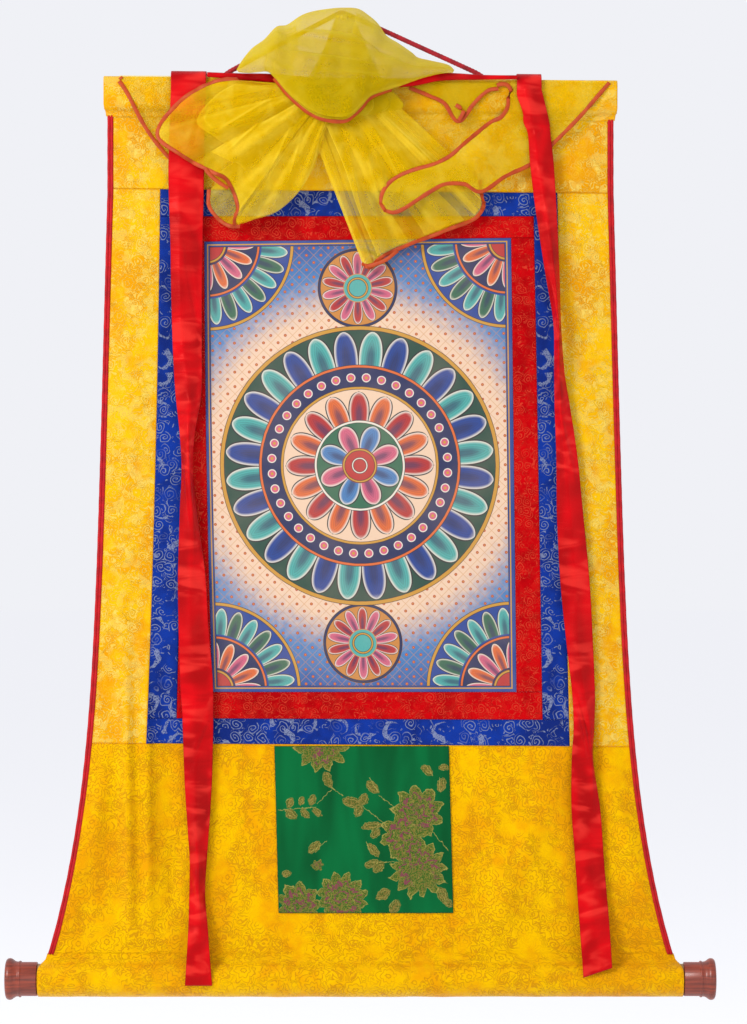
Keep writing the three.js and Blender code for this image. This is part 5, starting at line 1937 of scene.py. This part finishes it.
# Knobs
KNOB_PROFILE = [  # along the rod, radius
    (0, 0), (0, 20.6), (0.6, 21.2), (19.2, 21.2), (19.8, 21.6), (20.3, 22.4), (21.2, 22.8), (22.3, 22.6),
    (23, 22),
    (24, 21.7), (26, 21.9), (28, 22.8), (29.8, 24.2), (31.2, 25.2), (32.6, 25.8), (34.2, 26), (35.8, 25.8),
    (37.2, 25.2), (38.4, 24), (39.1, 22.4), (39.5, 20), (39.3, 12), (38.9, 5), (38.8, 0),
]
KNOB_START = 403.5


def knob(name, side, cloth):
    """A turned knob: its profile spun round the rod's axis in even steps."""
    profile = np.array(KNOB_PROFILE, float)[1:-1]
    turns = 96
    angle = np.linspace(0, 2 * np.pi, turns, endpoint=False)
    x = side * (KNOB_START + profile[:, 0])[:, None] * np.ones(turns)
    y = ROLL_Y - profile[:, 1][:, None] * np.cos(angle)[None]
    z = ROLL_Z + profile[:, 1][:, None] * np.sin(angle)[None]
    points = stack(x, y, z).reshape(-1, 3)
    index, beside, walls = ring_faces(len(profile), turns)
    ends = [[side * KNOB_START, ROLL_Y, ROLL_Z], [side * (KNOB_START + KNOB_PROFILE[-1][0]), ROLL_Y, ROLL_Z]]
    faces = [walls, end_fans(index, beside, index.size)]
    if side > 0:
        faces = [group[:, ::-1] for group in faces]
    return make_piece(name, np.concatenate([points, ends]), faces, cloth)


# Operators
def turned_to_aim(place):
    """The rotation that points a lamp's -Z at the scroll's middle."""
    return Vector(np.array(AIM) - np.array(place)).to_track_quat("-Z", "Y").to_euler()


class SCROLL_OT_stage(bpy.types.Operator):
    """Adds the camera, the lights and the pale floor"""

    bl_idname = "scroll.stage"
    bl_label = "Stage"

    def execute(self, context):
        scene = context.scene
        scene.view_settings.view_transform = "Standard"
        data = bpy.data.cameras.new("camera")
        data.lens = LENS
        data.sensor_width = SENSOR
        camera = bpy.data.objects.new("camera", data)
        camera.location = CAMERA
        camera.rotation_euler = (math.pi / 2, 0, 0)
        scene.collection.objects.link(camera)
        scene.camera = camera

        world = bpy.data.worlds.new("studio")
        world.use_nodes = True
        background = world.node_tree.nodes["Background"]
        background.inputs["Color"].default_value = colour(WALL_TINT, 1.0)
        background.inputs["Strength"].default_value = 1.0
        scene.world = world

        for name, place, energy, size in LIGHTS:
            light = bpy.data.lights.new(name, "AREA")
            light.energy = energy
            light.size = size
            lamp = bpy.data.objects.new(name, light)
            lamp.location = place
            lamp.rotation_euler = turned_to_aim(place)
            scene.collection.objects.link(lamp)

        floor_z = CAD_BOX[0][2] - FLOOR_DROP
        mesh = bpy.data.meshes.new("floor")
        corners = ((-1, -1), (1, -1), (1, 1), (-1, 1))
        mesh.from_pydata([(x * FLOOR_HALF, y * FLOOR_HALF, floor_z) for x, y in corners], [], [(0, 1, 2, 3)])
        floor = bpy.data.objects.new("floor", mesh)
        paint = Paint("floor")
        shader = paint.principled(colour(FLOOR_TINT, 1.0), 0.9, specular_ior_level=0.0)
        floor.data.materials.append(paint.finish(shader))
        scene.collection.objects.link(floor)
        return {"FINISHED"}


class SCROLL_OT_cord(bpy.types.Operator):
    """Adds the hanging cord"""

    bl_idname = "scroll.cord"
    bl_label = "Hanging cord"

    def execute(self, context):
        cloth = material(plain_silk, "red_cord", dye("cord"), (104, 6, 20), 0.5)
        thick = sizes().cord_thick
        piece, path, length = hanging_cord(cloth, thick / MM)
        dress(piece, "red_cord", "hanging_cord")
        tuple(path[0])
        [tuple(p) for p in path]
        return {"FINISHED"}


class SCROLL_OT_borders(bpy.types.Operator):
    """Adds the red and blue borders and the yellow side strips"""

    bl_idname = "scroll.borders"
    bl_label = "Borders and sides"

    def execute(self, context):
        cloths = {
            "red": (
                # The second colour is the painted shade of the red ground.
                material(brocade, "red_border", dye("red"), (172, 0, 10), (232, 76, 50), RED_SCROLL),
                cloth_back("red_back", (176, 44, 40)),
            ),
            "blue": (
                # The second colour is the painted shade of the blue ground.
                material(brocade, "blue_border", dye("blue"), (2, 34, 118), (150, 160, 186), BLUE_SCROLL),
                cloth_back("blue_back", (52, 78, 146)),
            ),
            "gold": (gold_cloth(), gold_back()),
        }
        for name, slot, cloth, *seams in PANELS:
            piece = panel(name + "_cloth", *(getattr(SEAMS, seam) for seam in seams), *cloths[cloth])
            dress(piece, slot, name)
        return {"FINISHED"}


class SCROLL_OT_painting(bpy.types.Operator):
    """Adds the painted canvas"""

    bl_idname = "scroll.painting"
    bl_label = "Painting"

    def execute(self, context):
        cloth = material(painted_canvas, "painted_canvas")
        back = cloth_back("canvas_back", (226, 216, 196))
        s = SEAMS
        edges = (s.paint_left, s.paint_right, s.paint_top, s.paint_bottom)
        piece = panel("painting_canvas", *edges, cloth, back)
        dress(piece, "canvas", "painting")
        return {"FINISHED"}


class SCROLL_OT_header(bpy.types.Operator):
    """Adds the header with its sleeve"""

    bl_idname = "scroll.header"
    bl_label = "Header"

    def execute(self, context):
        piece, size = header(gold_cloth())
        dress(piece, "gold_brocade", "header_panel")
        hang(piece, *size, "top_batten")
        return {"FINISHED"}


class SCROLL_OT_foot(bpy.types.Operator):
    """Adds the foot with the roll's sleeve, and the green patch"""

    bl_idname = "scroll.foot"
    bl_label = "Foot and patch"

    def execute(self, context):
        # The second colour is the painted shade of the foot's ground.
        cloth = material(brocade, "gold_foot", dye("gold"), (244, 166, 8), (208, 142, 20), GOLD_FOOT)
        piece, size = foot(cloth)
        dress(piece, "gold_brocade", "foot_panel")
        hang(piece, *size, "bottom_rod")
        # The second colour is the patch's painted shade.
        cloth = material(green_brocade, "green_patch", dye("green"), (0, 76, 36))
        patch, size = green_patch(cloth)
        dress(patch, "green_brocade", "green_panel")
        hang(patch, *size, "foot_cloth")
        return {"FINISHED"}


class SCROLL_OT_trims(bpy.types.Operator):
    """Adds the double red cord along both side edges"""

    bl_idname = "scroll.trims"
    bl_label = "Edge trims"

    def execute(self, context):
        cloth = material(plain_silk, "edge_trim", (214, 6, 20), (160, 2, 12), 0.7)
        for side, node in ((-1, "trim_left"), (1, "trim_right")):
            dress(trim(side, cloth), "edge_trim", node)
        return {"FINISHED"}


class SCROLL_OT_ribbons(bpy.types.Operator):
    """Adds the two satin ribbons and the band"""

    bl_idname = "scroll.ribbons"
    bl_label = "Ribbons"

    def execute(self, context):
        # The second colour is the satin's painted shade, the third its painted highlight.
        cloth = material(satin, "red_satin", dye("satin"), (154, 0, 8), (255, 58, 50))
        for name, node, table, folds, slant, gather, seed in (
            ("left_ribbon", "ribbon_left", RIBBON_LEFT, LEFT_CREASES, 0, 0, 31),
            ("right_ribbon", "ribbon_right", RIBBON_RIGHT, RIGHT_CREASES, 12, 13, 32),
        ):
            piece, length = ribbon(name, table, folds, slant, gather, seed, cloth)
            dress(piece, "red_satin", node)
            hang(piece, RIBBON_FLAT, length, "header_panel")
        band = satin_band(cloth)
        dress(band, "red_satin", "satin_band")
        return {"FINISHED"}


class SCROLL_OT_veil(bpy.types.Operator):
    """Adds the gathered veil and its orange binding"""

    bl_idname = "scroll.veil"
    bl_label = "Veil"

    def execute(self, context):
        # The second colour is the pale tone of the cloudy patches and of the painted sheen at grazing angles.
        cloth = material(organza, "organza", colour((231, 197, 0), 1.0), colour((248, 230, 84), 1.0))
        edging = material(plain_silk, "orange_binding", dye("binding"), (176, 54, 0))
        piece = veil(cloth, sizes().veil_cover)
        dress(piece, "organza", "veil")
        wide = sizes().binding_wide / MM
        strips = []
        for node, leaf, first, last in BINDINGS:
            strips.append((node, *hem_lines(leaf, first, last, 150)))
        strips.append(("binding_swag", *swag_lines(240)))
        strips += [(node, *turn_lines(points)) for node, *points in TURNS]
        for number, (node, edge, inner) in enumerate(strips):
            strip = binding(f"{node}_silk_{number}", edge, inner, wide, edging)
            dress(strip, "orange_binding", node)
        return {"FINISHED"}


class SCROLL_OT_wood(bpy.types.Operator):
    """Adds the turned knobs and finishes the rod and the batten"""

    bl_idname = "scroll.wood"
    bl_label = "Wood"

    def execute(self, context):
        lacquer = material(wood, "lacquer", dye("lacquer"), (104, 34, 18), 0.42, 0.3)
        bare = material(wood, "bare_wood", (196, 160, 110), (150, 110, 70), 0.7, 0.0)
        for node, side in (("knob_left", -1), ("knob_right", 1)):
            dress(knob(node + "_turned", side, lacquer), "lacquered_wood", node)
        for node in ("bottom_rod", "top_batten"):
            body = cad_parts[node]
            body.data.materials.clear()
            body.data.materials.append(bare)
        return {"FINISHED"}


class SCROLL_PT_panel(bpy.types.Panel):
    """Lists the scroll's settings and pieces in the sidebar"""

    bl_idname = "SCROLL_PT_panel"
    bl_label = "Scroll painting"
    bl_space_type = "VIEW_3D"
    bl_region_type = "UI"
    bl_category = "Scroll"

    def draw(self, context):
        for group in (context.scene.scroll_sizes, context.scene.scroll_colours):
            for name in group.__annotations__:
                self.layout.prop(group, name)
        for operator in OPERATORS:
            self.layout.operator(operator.bl_idname)


OPERATORS = (
    SCROLL_OT_stage,
    SCROLL_OT_cord,
    SCROLL_OT_borders,
    SCROLL_OT_painting,
    SCROLL_OT_header,
    SCROLL_OT_foot,
    SCROLL_OT_trims,
    SCROLL_OT_ribbons,
    SCROLL_OT_veil,
    SCROLL_OT_wood,
)
CLASSES = (ScrollSizes, ScrollColours, *OPERATORS, SCROLL_PT_panel)


def register():
    for item in CLASSES:
        bpy.utils.register_class(item)
    bpy.types.Scene.scroll_sizes = bpy.props.PointerProperty(type=ScrollSizes)
    bpy.types.Scene.scroll_colours = bpy.props.PointerProperty(type=ScrollColours)


def unregister():
    del bpy.types.Scene.scroll_colours
    del bpy.types.Scene.scroll_sizes
    for item in reversed(CLASSES):
        bpy.utils.unregister_class(item)


def main():
    register()
    for operator in OPERATORS:
        group, name = operator.bl_idname.split(".")
        getattr(getattr(bpy.ops, group), name)()


if __name__ == "__main__":
    main()
